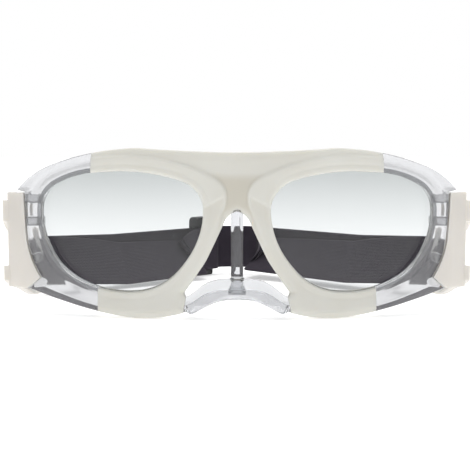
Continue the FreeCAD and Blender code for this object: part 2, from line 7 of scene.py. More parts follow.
import json
import math
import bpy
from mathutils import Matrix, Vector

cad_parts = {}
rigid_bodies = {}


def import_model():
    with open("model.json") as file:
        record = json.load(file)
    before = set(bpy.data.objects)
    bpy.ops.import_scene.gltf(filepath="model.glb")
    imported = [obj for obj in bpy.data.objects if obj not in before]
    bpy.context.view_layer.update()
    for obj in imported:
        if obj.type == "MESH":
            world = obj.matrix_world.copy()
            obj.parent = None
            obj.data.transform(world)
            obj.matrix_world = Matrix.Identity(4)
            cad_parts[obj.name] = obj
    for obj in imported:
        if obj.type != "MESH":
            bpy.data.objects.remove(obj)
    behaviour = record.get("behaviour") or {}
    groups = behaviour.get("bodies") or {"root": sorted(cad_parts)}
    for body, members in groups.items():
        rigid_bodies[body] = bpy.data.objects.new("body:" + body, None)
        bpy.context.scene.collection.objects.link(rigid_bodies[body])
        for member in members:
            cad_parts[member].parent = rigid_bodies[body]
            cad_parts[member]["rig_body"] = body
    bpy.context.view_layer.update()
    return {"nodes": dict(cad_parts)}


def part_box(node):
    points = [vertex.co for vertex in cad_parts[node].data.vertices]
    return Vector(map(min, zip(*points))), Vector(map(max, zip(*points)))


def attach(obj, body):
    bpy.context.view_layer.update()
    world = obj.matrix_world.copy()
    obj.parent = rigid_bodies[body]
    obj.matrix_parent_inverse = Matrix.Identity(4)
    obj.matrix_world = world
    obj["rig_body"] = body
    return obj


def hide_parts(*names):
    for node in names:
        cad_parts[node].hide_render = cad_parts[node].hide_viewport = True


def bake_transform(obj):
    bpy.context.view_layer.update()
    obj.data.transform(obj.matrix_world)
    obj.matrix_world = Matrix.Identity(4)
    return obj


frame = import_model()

from types import SimpleNamespace

import bmesh
import bpy
import numpy as np
from bpy.props import FloatProperty, FloatVectorProperty, IntProperty, PointerProperty
from mathutils import Vector

bl_info = {
    "name": "Sports Goggles",
    "version": (1, 0, 0),
    "blender": (4, 5, 0),
    "location": "3D View > Sidebar > Goggles",
    "description": "Builds protective sports goggles piece by piece round their packed frame",
    "category": "Add Mesh",
}

MM = 0.001
FRONT_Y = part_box("front_cover")[0].y

# Outlines of the left half of the front, as (x, z) in millimetres
OPENING = [
    (-11.4, 38.5), (-13.3, 43.0), (-18.5, 47.1), (-31.0, 49.9), (-46.0, 50.0), (-54.5, 49.0),
    (-61.8, 46.2), (-66.6, 42.0), (-68.1, 35.5), (-65.8, 24.6), (-58.4, 15.0), (-47.0, 10.0),
    (-35.5, 9.1), (-26.5, 11.4), (-18.5, 18.3), (-13.2, 27.5),
]
BROW = [
    (0.0, 56.8), (-18.0, 57.3), (-34.0, 58.3), (-50.1, 56.5), (-63.7, 52.7), (-72.4, 48.2), (-77.6, 43.4),
]
TEMPLE_EDGE = [(-74.6, 42.9), (-74.2, 34.0), (-73.6, 25.5), (-71.6, 18.5), (-68.6, 13.0)]
LOWER_EDGE = [
    (-73.4, 8.8), (-68.1, 7.1), (-59.4, 4.6), (-48.6, 2.0), (-39.0, 0.4), (-30.0, 0.1), (-18.4, 2.2),
]
NOTCH = [(-18.4, 2.2), (-17.5, 7.2), (-18.2, 8.9)]
LEG_EDGE = [(-18.2, 8.9), (-14.6, 14.0), (-10.4, 20.3), (-7.2, 27.0), (-4.6, 32.6), (-2.4, 35.9), (0.0, 37.0)]

# Where the rim's section lines run, as (point on the outer outline, point on the opening)
COVER_LINES = [
    ((-48.0, 1.9), (-48.0, 10.2)), ((-30.0, 0.1), (-33.0, 9.3)), ((-18.4, 2.2), (-24.5, 12.6)),
    ((-17.5, 7.2), (-22.6, 14.2)), ((-18.2, 8.9), (-21.6, 15.1)), ((-10.4, 20.3), (-15.9, 22.5)),
    ((-4.6, 32.6), (-12.0, 31.5)), ((0.0, 37.0), (-11.4, 37.5)), ((0.0, 56.8), (-14.8, 44.9)),
    ((-18.0, 57.3), (-21.0, 48.0)), ((-34.0, 58.3), (-34.0, 50.2)), ((-50.0, 56.5), (-50.0, 49.7)),
]
CLEAR_LINES = [
    ((-50.0, 56.5), (-50.0, 49.7)), ((-63.7, 52.7), (-61.0, 46.6)), ((-77.6, 43.4), (-66.6, 42.0)),
    ((-74.6, 42.9), (-67.1, 40.8)), ((-74.2, 34.0), (-68.0, 34.5)), ((-71.6, 18.5), (-62.0, 19.0)),
    ((-68.6, 13.0), (-57.7, 14.6)), ((-73.4, 8.8), (-56.4, 13.8)), ((-59.4, 4.6), (-52.8, 11.9)),
    ((-48.0, 1.9), (-48.0, 10.2)),
]

# Radii of the rim's edges, at the opening and outside
FRONT_EDGES, BACK_EDGES = (0.7, 0.35), (0.5, 0.6)

# Hinges, arms and strap in plan, in millimetres, with Y counted from the front's foremost line
HINGE_X, HINGE_Y = 74.8, 24.5
KNUCKLE_BOTTOMS = (10.8, 18.0, 30.8, 38.8)
KNUCKLE_LENGTH = 3.0
KNUCKLE_BORE, KNUCKLE_RADIUS, KNUCKLE_EDGE = 1.0, 2.7, 0.3
LUG_X, LUG_Y, LUG_CORNER = (1.0, 6.3), (19.6, HINGE_Y + 1.3), 1.6
ARM_OUTER_Y = (17.9, 27.0, 38.0, 50.0, 57.6)
ARM_OUTER_X = (-81.0, -81.6, -80.6, -78.6, -77.9)
ARM_WALL = 2.5
PAD_THICKNESS, PAD_SINK = 1.9, 0.05
# The left pad's side outline, as (y, z)
PAD_OUTLINE = [
    (31.0, 9.5), (31.0, 22.0), (31.0, 35.0), (36.0, 34.0), (42.0, 30.0), (47.5, 25.0), (47.5, 14.0),
    (47.5, 3.8), (41.0, 4.6), (37.0, 6.0),
]
ARM_BAR_OUTSIDE, ARM_BAR_INSIDE, ARM_SLOT_Y, ARM_BAR_BACK_Y = 79.2, 74.6, 52.8, 58.6
TURN_END_Y = 54.8
REAR_LEFT, REAR_APEX, REAR_RIGHT = np.array((-52.0, 87.0)), np.array((-1.7, 136.0)), np.array((52.0, 83.0))
REAR_BEND_RADIUS = 17.0
STRAP_ARM_Z, STRAP_REAR_Z = 4.3, 2.6
# How far the inner layers lean, in degrees, and how high their feet are, at the rear corner and beside their ends
LEFT_LEANS, LEFT_FEET = (28, 45), (1.4, 2.6)
RIGHT_LEANS, RIGHT_FEET = (30, 46), (2.6, 3.6)
SEWN_LENGTH, LEFT_TWIST, RIGHT_TWIST = 1.8, 4.2, 3.2
INNER_AIR = 0.6
SLIDER_FROM_BEND, SLIDER_HALF = 4.2, 4.8
SLIDER_RAIL, SLIDER_TOP_RAIL, SLIDER_BAR = 2.3, 4.65, 1.8
# Depths of the slider's ring and of its two bars, and how far the bars stop short of its bottom and top
RING_DEPTHS, MIDDLE_BAR_DEPTHS, LAST_BAR_DEPTHS = (-2.2, -0.8), (0.8, 2.2), (2.2, 3.6)
BAR_BOTTOM, BAR_SHORT = 1.2, 1.4
LOOP_FRONT, LOOP_REAR, LOOP_FOLD, LOOP_RADIUS = 4.4, 1.4, 5.9, 1.5
# Where the tacks stand along and in front of the strap, and their zigzag
TACKS_ALONG, TACK_FRONT, TACK_HEIGHTS = (0.6, 1.5), 1.85, (1.5, 17.5)
TACK_SWING, TACK_PITCH, THREAD_RADIUS = 0.4, 0.8, 0.14

# Soft lights as (name, location, target, width, height, watts)
LIGHTS = (
    ("overhead", (0.0, 0.05, 0.9), (0, 0, 0), 0.9, 0.7, 3.4),
    ("front_left", (-0.7, -0.9, 0.5), (0, 0, 0.03), 0.6, 0.6, 0.4),
    ("front_right", (0.8, -0.8, 0.4), (0, 0, 0.03), 0.6, 0.6, 0.4),
)


# ---------------------------------------------------------------- curves and surfaces


def arc_through(a, b, c, count=16):
    """Points of the circle arc from a over b to c: centre plus radius times (cos, sin) of even angles."""
    a, b, c = (np.asarray(p, float) for p in (a, b, c))
    rows = 2 * np.array([b - a, c - a])
    if abs(np.linalg.det(rows)) < 1e-6:
        return np.linspace(a, c, count)
    centre = np.linalg.solve(rows, [b @ b - a @ a, c @ c - a @ a])
    angles = np.unwrap([math.atan2(*(p - centre)[::-1]) for p in (a, b, c)])
    turns = np.linspace(angles[0], angles[2], count)
    return centre + np.linalg.norm(a - centre) * np.stack([np.cos(turns), np.sin(turns)], 1)


def run_length(points):
    """Distance from the first point to each point, along the line of points."""
    return np.concatenate([[0.0], np.cumsum(np.linalg.norm(np.diff(points[:, :2], axis=0), axis=1))])


def resampled(points, count):
    """The same line at evenly spaced distances, each column interpolated on the distance run."""
    distance = run_length(points)
    wanted = np.linspace(0, distance[-1], count)
    return np.stack([np.interp(wanted, distance, column) for column in points.T], 1)


def eased(points, reach, closed=False, step=0.2):
    """The line averaged over a raised-cosine window of half width reach: round corners, and ends as they were."""
    count = max(8, int(run_length(points)[-1] / step))
    even = resampled(points, count + 1)
    half = max(1, int(reach / step))
    window = 1 + np.cos(np.linspace(-np.pi, np.pi, 2 * half + 1))
    window /= window.sum()
    if closed:
        padded = np.concatenate([even[-half - 1 : -1], even, even[1 : half + 1]])
    else:
        padded = np.concatenate([2 * even[0] - even[half:0:-1], even, 2 * even[-1] - even[-2 : -half - 2 : -1]])
    return np.stack([np.convolve(column, window, "valid") for column in padded.T], 1)


def arc_chain(points, closed=False, reach=1.6):
    """Smooth line through the points: arcs over every three of them, eased where the arcs meet."""
    loop = list(points) + ([points[0]] if closed else [])
    arcs = [arc_through(*loop[i : i + 3]) for i in range(0, len(loop) - 2, 2)]
    line = np.concatenate([arcs[0]] + [arc[1:] for arc in arcs[1:]])
    return eased(line, reach, closed)


def nearest_index(line, point):
    """Index of the line's point nearest to the given one."""
    return int(np.argmin(np.linalg.norm(line - np.asarray(point), axis=1)))


def stretch(line, start, end):
    """The part of a closed line from one index forward to another."""
    return line[start : end + 1] if end > start else np.concatenate([line[start:], line[1 : end + 1]])


def distance_to(line, points):
    """Shortest distance from each point to a line of points, square to the segment or to its nearer end."""
    a, b = line[:-1], line[1:]
    along = b - a
    share = np.einsum("pij,ij->pi", points[:, None, :] - a, along) / np.maximum((along**2).sum(1), 1e-12)
    foot = a + np.clip(share, 0, 1)[..., None] * along
    return np.linalg.norm(points[:, None, :] - foot, axis=2).min(1)


def smooth_step(share):
    """3 s squared minus 2 s cubed, with s held between 0 and 1."""
    share = np.clip(share, 0, 1)
    return share * share * (3 - 2 * share)


def edge_round(distance, radius):
    """Depth below a flat of a quarter circle of that radius, at each distance in from the edge."""
    inside = np.clip(radius - distance, 0, radius)
    return radius - np.sqrt(np.maximum(radius**2 - inside**2, 0))


def on_front(x, z, depth, radius):
    """Point that lies depth behind the front's cylinder of that radius: y = R - root((R - depth)^2 - x^2)."""
    y = radius - np.sqrt((radius - depth) ** 2 - x**2)
    return np.stack([x, y, z], -1)


def grid_quads(rows, columns, wrap_rows=False, wrap_columns=False, start=0):
    """Corner numbers of the quads of a grid of rows by columns points, joined round where wrapped."""
    r = np.arange(rows if wrap_rows else rows - 1)
    c = np.arange(columns if wrap_columns else columns - 1)
    r, c = (m.ravel() for m in np.meshgrid(r, c, indexing="ij"))
    r2, c2 = (r + 1) % rows, (c + 1) % columns
    return np.stack([r * columns + c, r * columns + c2, r2 * columns + c2, r2 * columns + c], 1) + start


def tube(sections):
    """Points and faces of closed sections carried along a path, with an end face at each end."""
    rows, columns = sections.shape[:2]
    ends = [list(range(columns))[::-1], list(range((rows - 1) * columns, rows * columns))]
    return sections.reshape(-1, 3), grid_quads(rows, columns, wrap_columns=True).tolist() + ends


def closed_disc(layers, poles):
    """Two layers of rings as one shell: a fan closes each at its pole, and a wall joins their first rings."""
    rings, count = layers[0].shape[:2]
    second, spokes = rings * count + 1, np.arange(count)
    ahead = (spokes + 1) % count
    points, faces = [], []
    for start, layer, pole in zip((0, second), layers, poles):
        last = start + (rings - 1) * count
        points += [layer.reshape(-1, 3), np.reshape(pole, (1, 3))]
        faces += grid_quads(rings, count, wrap_columns=True, start=start).tolist()
        faces += np.stack([last + spokes, last + ahead, np.full(count, start + rings * count)], 1).tolist()
    faces += np.stack([spokes, ahead, second + ahead, second + spokes], 1).tolist()
    return np.concatenate(points), faces


def joined(shells):
    """Several (points, faces) shells as one."""
    points, faces, offset = [], [], 0
    for shell_points, shell_faces in shells:
        points.append(shell_points)
        faces += [[i + offset for i in face] for face in shell_faces]
        offset += len(shell_points)
    return np.concatenate(points), faces


def mirror_of(shell):
    """The shell on the other side of X = 0, with its faces turned to point outwards again."""
    points, faces = shell
    return points * (-1, 1, 1), [face[::-1] for face in faces]


def piece(name, shell, material, uv=None, recess=None, smooth_angle=40.0):
    """Mesh object from a shell in drawing millimetres, moved behind the front's foremost line, normals outwards.
    A recess mask, the share of painted shade, becomes a point attribute, and the shell's two halves are then
    joined on the middle plane."""
    points, faces = shell
    mesh = bpy.data.meshes.new(name)
    placed = np.asarray(points, float) * MM + (0, FRONT_Y, 0)
    reach = 1e-6
    if recess is not None:
        reach = 2e-6
        placed[np.abs(placed[:, 0]) < reach, 0] = 0
    mesh.from_pydata(placed.tolist(), [], faces)
    if uv is not None:
        layer = mesh.uv_layers.new(name="Run")
        corners = np.empty(len(mesh.loops), np.int32)
        mesh.loops.foreach_get("vertex_index", corners)
        layer.data.foreach_set("uv", (np.asarray(uv)[corners] * MM).astype(np.float32).ravel())
    if recess is not None:
        mesh.attributes.new("recess", "FLOAT", "POINT").data.foreach_set("value", recess.astype(np.float32))
    obj = bpy.data.objects.new(name, mesh)
    bpy.context.scene.collection.objects.link(obj)
    work = bmesh.new()
    work.from_mesh(mesh)
    if recess is not None:
        middle = [face for face in work.faces if all(abs(vert.co.x) < 1e-7 for vert in face.verts)]
        bmesh.ops.delete(work, geom=middle, context="FACES")
    bmesh.ops.remove_doubles(work, verts=work.verts, dist=reach)
    bmesh.ops.recalc_face_normals(work, faces=work.faces)
    work.to_mesh(mesh)
    work.free()
    mesh.shade_smooth()
    mesh.set_sharp_from_angle(angle=math.radians(smooth_angle))
    mesh.materials.append(material)
    return obj


def bevelled(obj, width, segments, angle):
    """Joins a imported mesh's loose triangles with a live weld, and rounds its sharp edges with a live bevel."""
    obj.modifiers.new("Weld", "WELD").merge_threshold = 1e-6
    modifier = obj.modifiers.new("Rounded edges", "BEVEL")
    modifier.width, modifier.segments = width, segments
    modifier.limit_method, modifier.angle_limit = "ANGLE", math.radians(angle)


# ---------------------------------------------------------------- materials


class Nodes:
    """Short way to add and join shader nodes in one tree."""

    def __init__(self, tree):
        self.tree = tree

    def add(self, kind, inputs=None, **attributes):
        """A new node, with constants or links put into its named or numbered inputs."""
        node = self.tree.nodes.new(kind)
        for key, value in attributes.items():
            setattr(node, key, value)
        for key, value in (inputs or {}).items():
            self.feed(node.inputs[key], value)
        return node

    def feed(self, socket, value):
        """Puts a constant or another node's output into a socket."""
        if isinstance(value, bpy.types.NodeSocket):
            self.tree.links.new(value, socket)
        else:
            socket.default_value = value

    def math(self, operation, a, b=0.0, c=0.0):
        """Output of a Math node."""
        node = self.add("ShaderNodeMath", {0: a, 1: b, 2: c}, operation=operation)
        return node.outputs[0]

    def ramp(self, value, low, high, to_low=0.0, to_high=1.0):
        """Value mapped from low..high to to_low..to_high and held there."""
        node = self.add(
            "ShaderNodeMapRange",
            {"Value": value, "From Min": low, "From Max": high, "To Min": to_low, "To Max": to_high},
        )
        return node.outputs["Result"]

    def mix(self, share, a, b):
        """Colour a to b by share."""
        node = self.add("ShaderNodeMix", {"Factor": share}, data_type="RGBA")
        self.feed(node.inputs[6], a)
        self.feed(node.inputs[7], b)
        return node.outputs[2]


def new_group(name, inputs, outputs):
    """An empty shader group with float or vector inputs, given as (name, kind, default), and float outputs."""
    tree = bpy.data.node_groups.new(name, "ShaderNodeTree")
    for socket_name, kind, default in inputs:
        socket = tree.interface.new_socket(socket_name, in_out="INPUT", socket_type=kind)
        if default is not None:
            socket.default_value = default
    for socket_name in outputs:
        tree.interface.new_socket(socket_name, in_out="OUTPUT", socket_type="NodeSocketFloat")
    nodes = Nodes(tree)
    source, sink = nodes.add("NodeGroupInput"), nodes.add("NodeGroupOutput")
    return nodes, source.outputs, sink.inputs


def group_node(nodes, name, maker, vector):
    """A node of the named shader group, which is made the first time that it is asked for."""
    node = nodes.add("ShaderNodeGroup", node_tree=bpy.data.node_groups.get(name) or maker(name))
    nodes.feed(node.inputs["Vector"], vector)
    return node


def grain_group(name):
    """Fine moulded grain as Height, and slow changes of shade as Tone, both 0 to 1."""
    nodes, given, out = new_group(
        name,
        [("Vector", "NodeSocketVector", None), ("Grain Scale", "NodeSocketFloat", 900.0),
         ("Tone Scale", "NodeSocketFloat", 60.0)],
        ["Height", "Tone"],
    )
    fine, broad = (
        nodes.add("ShaderNodeTexNoise", {"Vector": given[0], "Scale": scale, "Detail": detail, "Roughness": rough})
        for scale, detail, rough in ((given[1], 3.0, 0.6), (given[2], 2.0, 0.5)))
    nodes.feed(out[0], fine.outputs["Fac"])
    nodes.feed(out[1], nodes.ramp(broad.outputs["Fac"], 0.3, 0.7))
    return nodes.tree


def flow_group(name):
    """Long soft waves in clear moulded plastic, as Height 0 to 1."""
    nodes, given, out = new_group(
        name,
        [("Vector", "NodeSocketVector", None), ("Wave Scale", "NodeSocketFloat", 120.0),
         ("Stretch", "NodeSocketVector", (1.0, 1.0, 0.35))],
        ["Height"],
    )
    stretched = nodes.add("ShaderNodeVectorMath", {0: given[0], 1: given[2]}, operation="MULTIPLY")
    waves = nodes.add(
        "ShaderNodeTexNoise",
        {"Vector": stretched.outputs[0], "Scale": given[1], "Detail": 1.0, "Distortion": 0.6},
    )
    nodes.feed(out[0], waves.outputs["Fac"])
    return nodes.tree


def weave_group(name):
    """Knitted elastic: Height of its crossing threads, Shade for painted shade that is darker between the threads
    and varies at random along them, and Lint specks.
    """
    nodes, given, out = new_group(
        name,
        [("Vector", "NodeSocketVector", None), ("Pick Pitch", "NodeSocketFloat", 0.0007),
         ("Rib Pitch", "NodeSocketFloat", 0.00063)],
        ["Height", "Shade", "Lint"],
    )
    parts = nodes.add("ShaderNodeSeparateXYZ", {0: given[0]})
    wobble = nodes.add("ShaderNodeTexNoise", {"Vector": given[0], "Scale": 700.0, "Detail": 2.0})
    shift = nodes.math("MULTIPLY", nodes.math("SUBTRACT", wobble.outputs["Fac"], 0.5), 0.00025)
    along = nodes.math("DIVIDE", nodes.math("ADD", parts.outputs[0], shift), given[1])
    across = nodes.math("DIVIDE", parts.outputs[1], given[2])
    row = nodes.math("MULTIPLY", nodes.math("FLOOR", across), 0.5)
    pick = nodes.math("SINE", nodes.math("MULTIPLY", nodes.math("ADD", along, row), 2 * math.pi))
    rib = nodes.math("ABSOLUTE", nodes.math("SINE", nodes.math("MULTIPLY", across, math.pi)))
    rib = nodes.math("MULTIPLY_ADD", rib, 0.45, 0.55)
    height = nodes.math("MULTIPLY", nodes.math("MULTIPLY_ADD", pick, 0.3, 0.7), rib)
    nodes.feed(out[0], height)
    tone = nodes.add("ShaderNodeTexNoise", {"Vector": given[0], "Scale": 240.0, "Detail": 4.0, "Roughness": 0.7})
    nodes.feed(out[1], nodes.math("MULTIPLY", height, nodes.ramp(tone.outputs["Fac"], 0.25, 0.75, 0.6, 1.0)))
    specks = nodes.add("ShaderNodeTexVoronoi", {"Vector": given[0], "Scale": 330.0, "Randomness": 1.0})
    split = nodes.add("ShaderNodeSeparateColor", {0: specks.outputs["Color"]})
    chance = nodes.math("GREATER_THAN", split.outputs[0], 0.93)
    dot = nodes.ramp(specks.outputs["Distance"], 0.05, 0.14, 1.0, 0.0)
    nodes.feed(out[2], nodes.math("MULTIPLY", chance, dot))
    return nodes.tree


def new_material(name, **constants):
    """A material whose Principled shader has these constants on its own sockets."""
    material = bpy.data.materials.new(name)
    material.use_nodes = True
    nodes = Nodes(material.node_tree)
    shader = material.node_tree.nodes["Principled BSDF"]
    for key, value in constants.items():
        shader.inputs[key.replace("_", " ")].default_value = value
    return material, nodes, shader


def place(nodes):
    """Object coordinates."""
    return nodes.add("ShaderNodeTexCoord").outputs["Object"]


def bump(nodes, shader, height, distance, strength=1.0):
    """Height, in shares of a distance in metres, as the shader's normal."""
    node = nodes.add("ShaderNodeBump", {"Height": height, "Strength": strength, "Distance": distance})
    nodes.feed(shader.inputs["Normal"], node.outputs["Normal"])


def grained(nodes, grain_scale, tone_scale):
    """The moulded grain's outputs at these scales."""
    grain = group_node(nodes, "Moulded Grain", grain_group, place(nodes))
    grain.inputs["Grain Scale"].default_value = grain_scale
    grain.inputs["Tone Scale"].default_value = tone_scale
    return grain.outputs


def milky_material(name, colour, shade, scatter, roughness, recess=False):
    """Soft translucent plastic: scattering body, slow changes of tone, fine grain, and painted shade in its
    recesses when given a recess mask.
    """
    material, nodes, shader = new_material(
        name, Roughness=roughness, IOR=1.46, Subsurface_Weight=scatter, Subsurface_Scale=0.004,
        Subsurface_Radius=(1.0, 0.92, 0.75), Specular_IOR_Level=0.45,
    )
    grain = grained(nodes, 1400.0, 55.0)
    share = nodes.math("MULTIPLY", grain["Tone"], 0.25)
    if recess:
        # Painted shade: the recess attribute darkens the colour towards the shade colour where the piece is
        # recessed
        mask = nodes.add("ShaderNodeAttribute", attribute_name="recess").outputs["Fac"]
        share = nodes.math("MAXIMUM", share, mask)
    nodes.feed(shader.inputs["Base Color"], nodes.mix(share, colour, shade))
    nodes.feed(shader.inputs["Roughness"], nodes.ramp(grain["Height"], 0, 1, roughness - 0.05, roughness + 0.08))
    bump(nodes, shader, grain["Height"], 0.00004, 0.5)
    return material


def clear_material(name, colour, ior, waviness, roughness, clearness):
    """Clear moulded polycarbonate with faint flow waves."""
    material, nodes, shader = new_material(
        name, Transmission_Weight=clearness, Roughness=roughness, IOR=ior, Base_Color=colour,
    )
    waves = group_node(nodes, "Flow Waves", flow_group, place(nodes)).outputs["Height"]
    bump(nodes, shader, waves, waviness, 0.6)
    nodes.feed(shader.inputs["Roughness"], nodes.ramp(waves, 0.3, 0.8, roughness * 0.6, roughness * 1.5))
    return material


def lens_material(top, bottom):
    """Clear lens with painted shade: the grey-blue shade of the backdrop seen through it, painted darker at the
    top and fading out downwards.
    """
    material, nodes, shader = new_material("lens_tinted_clear", Transmission_Weight=1.0, Roughness=0.0, IOR=1.36)
    height = nodes.add("ShaderNodeSeparateXYZ", {0: place(nodes)}).outputs["Z"]
    low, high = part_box("lens_left")[0].z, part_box("lens_left")[1].z
    # Painted shade: the backdrop's darker upper part, seen through the lens, is painted into the lens colour and
    # fades out downwards
    fade = nodes.ramp(height, low + 0.2 * (high - low), high)
    grain = grained(nodes, 900.0, 25.0)
    uneven = nodes.math("MULTIPLY", fade, nodes.ramp(grain["Tone"], 0, 1, 0.9, 1.0))
    nodes.feed(shader.inputs["Base Color"], nodes.mix(uneven, bottom, top))
    nodes.feed(shader.inputs["Roughness"], nodes.ramp(grain["Height"], 0.4, 0.9, 0.0, 0.03))
    return material


def strap_material(name, dark, light, lint):
    """Elastic webbing: woven threads over the run of the strap, with painted shade between the threads, sheen and
    a few specks of lint.
    """
    material, nodes, shader = new_material(
        name, Roughness=0.85, Sheen_Weight=0.08, Sheen_Roughness=0.5, Specular_IOR_Level=0.2,
    )
    run = nodes.add("ShaderNodeUVMap", uv_map="Run").outputs["UV"]
    weave = group_node(nodes, "Elastic Weave", weave_group, run).outputs
    # Painted shade: the webbing's colour is darker between the threads and lighter on them
    woven = nodes.mix(weave["Shade"], dark, light)
    nodes.feed(shader.inputs["Base Color"], nodes.mix(weave["Lint"], woven, lint))
    nodes.feed(shader.inputs["Roughness"], nodes.ramp(weave["Height"], 0, 1, 0.95, 0.75))
    bump(nodes, shader, weave["Height"], 0.00006, 0.5)
    return material


def plain_material(name, colour, shade, roughness, metallic=0.0, grain_scale=1200.0, depth=0.00003):
    """Moulded plastic, foam, thread or steel: grain in its height, tone and roughness."""
    material, nodes, shader = new_material(name, Metallic=metallic)
    grain = grained(nodes, grain_scale, 150.0)
    nodes.feed(shader.inputs["Base Color"], nodes.mix(grain["Tone"], colour, shade))
    nodes.feed(shader.inputs["Roughness"], nodes.ramp(grain["Height"], 0, 1, roughness - 0.08, roughness + 0.1))
    bump(nodes, shader, grain["Height"], depth, 0.6)
    return material


# ---------------------------------------------------------------- shapes of the front


def opening_line():
    """The left lens opening as a closed line."""
    return arc_chain(OPENING, closed=True, reach=2.5)


def outer_line():
    """The left half's outer outline, from the brow's middle round to the middle of the nose gap."""
    runs = [arc_chain(BROW), arc_chain(TEMPLE_EDGE), arc_chain(LOWER_EDGE), np.array(NOTCH), arc_chain(LEG_EDGE)]
    return np.concatenate(runs)


def section_lines(anchors, spacing=0.8):
    """Matching points on the outer outline and on the opening, evenly spaced between the anchor pairs."""
    opening, outer = opening_line(), outer_line()
    middle = np.array([LEG_EDGE[-1], BROW[0]])
    whole = np.concatenate([outer, resampled(middle, 60)])
    outs, ins = [], []
    for (out_a, in_a), (out_b, in_b) in zip(anchors, anchors[1:]):
        out_run = stretch(whole, nearest_index(whole, out_a), nearest_index(whole, out_b))
        in_run = stretch(opening, nearest_index(opening, in_a), nearest_index(opening, in_b))
        count = max(2, int(max(run_length(out_run)[-1], run_length(in_run)[-1]) / spacing)) + 1
        outs.append(resampled(out_run, count)[:-1])
        ins.append(resampled(in_run, count)[:-1])
    outs.append(out_run[-1:])
    ins.append(in_run[-1:])
    return np.concatenate(outs), np.concatenate(ins), opening, outer


def bridge_field(x, z, d_in):
    """Share of the recess: 0 on the raised band round each opening, 1 beyond it over the bridge. The band is 4.8
    wide, up to 3.7 wider near (-6, 44), and the recess fades in from z = 24 to 34."""
    band = 4.8 + 3.7 * np.exp(-((x + 6) ** 2 + (z - 44) ** 2) / 50)
    return smooth_step((d_in - band) / 1.1) * smooth_step((z - 24) / 10)


def leg_step(x, z):
    """Share of the small step down below the crease where each leg leaves the bridge."""
    below = 42.2 + 0.54 * (x + 4.7) - z
    return smooth_step(below / 0.7) * smooth_step((z - 27) / 10) * smooth_step((-x - 4.2) / 0.8)


def rim_sections(anchors, sizes):
    """Closed sections of the rim from opening to outer edge: front, outer wall, back and grooved inner wall.
    Also gives each point's share of painted shade, in the bridge recess below the brow and below the leg steps."""
    outs, ins, opening, outer = section_lines(anchors)
    width = np.linalg.norm(outs - ins, axis=1)
    across = (outs - ins) / width[:, None]
    near = np.array([0, 0.12, 0.3, 0.6, 1.0, 1.5, 2.1])
    far = np.array([3.4, 2.8, 2.3, 1.9, 1.5, 1.1, 0.75, 0.45, 0.2, 0.0])
    fit = np.minimum(1, width / (near[-1] + far[0] + 0.8))[:, None]
    middle = np.linspace(0, 1, 16)[None, 1:-1]
    start, end = near[-1] * fit, width[:, None] - far[0] * fit
    front = np.concatenate([near * fit, start + (end - start) * middle, width[:, None] - far * fit], 1)
    back = front[:, ::-1]
    groove = np.array([0.0, 1.5, 1.5, 0.0, 0.0])
    groove_depth = np.array([4.9, 4.9, 2.7, 2.7, 1.2])
    distances = np.concatenate(
        [front, np.repeat(width[:, None], 2, 1), back, np.repeat(groove[None], len(width), 0)], 1)
    spots = ins[:, None, :] + across[:, None, :] * distances[..., None]
    x, z = spots[..., 0], spots[..., 1]
    flat_spots = spots.reshape(-1, 2)
    d_in = distance_to(opening, flat_spots).reshape(x.shape)
    d_out = distance_to(outer, flat_spots).reshape(x.shape)
    field, leg = bridge_field(x, z, d_in), leg_step(x, z)
    chamfer_share = np.clip(1 - d_out / sizes.chamfer_width, 0, 1)
    wide = smooth_step((width[:, None] - 5.6) / 1.6) * smooth_step((np.hypot(x + 17.6, z - 5.5) - 2.0) / 3.5)
    chamfer = sizes.chamfer_depth * chamfer_share * (0.45 + 0.55 * wide)
    crease = 0.14 * np.exp(-(((d_out - sizes.chamfer_width) / 0.3) ** 2)) * wide
    bead = 0.12 * smooth_step((d_in - 1.3) / 0.7) * (1 - smooth_step((d_in - 2.1) / 1.5)) * wide
    top = chamfer + crease + bead + sizes.recess_depth * field * (1 - chamfer_share) + 0.35 * leg
    top = top + edge_round(d_in, FRONT_EDGES[0]) + edge_round(d_out, FRONT_EDGES[1])
    bottom = sizes.rim_depth - edge_round(d_in, BACK_EDGES[0]) - edge_round(d_out, BACK_EDGES[1])
    n_front = front.shape[1]
    depth = np.concatenate([
        top[:, :n_front],
        top[:, n_front - 1 : n_front] * (0.66, 0.33) + bottom[:, n_front + 2 : n_front + 3] * (0.34, 0.67),
        bottom[:, n_front + 2 : 2 * n_front + 2],
        np.repeat(groove_depth[None], len(width), 0),
    ], 1)
    # Painted shade: share of the darker cover colour in the bridge recess below z = 51 and below each leg's step,
    # none on the walls
    recess = np.maximum(field * (1 - chamfer_share) * smooth_step((51 - z) / 4), 0.3 * leg)
    recess[:, n_front:] = 0
    return on_front(x, z, depth, sizes.front_radius), recess


def front_sizes(context):
    """The front's settings in millimetres."""
    given = context.scene.goggles_front
    return SimpleNamespace(**{name: getattr(given, name) / MM for name in GogglesFront.__annotations__})


def lens_shell(sizes, bite=1.4, rings=14):
    """Curved pane: rings drawn in from the grown opening to its middle, on two cylinders."""
    outline = resampled(opening_line(), 161)[:-1]
    ahead, behind = np.roll(outline, -1, 0), np.roll(outline, 1, 0)
    normal = np.stack([-(ahead - behind)[:, 1], (ahead - behind)[:, 0]], 1)
    normal /= np.linalg.norm(normal, axis=1)[:, None]
    middle = outline.mean(0)
    outwards = np.sign(((outline - middle) * normal).sum(1))[:, None]
    edge = outline + normal * outwards * bite
    share = np.linspace(1, 0, rings + 1)[:-1, None, None]
    disc = middle + (edge - middle) * share
    depths = (sizes.lens_setback, sizes.lens_setback + sizes.lens_thickness)
    return closed_disc(
        [on_front(disc[..., 0], disc[..., 1], depth, sizes.front_radius) for depth in depths],
        [on_front(middle[:1], middle[1:], depth, sizes.front_radius) for depth in depths],
    )


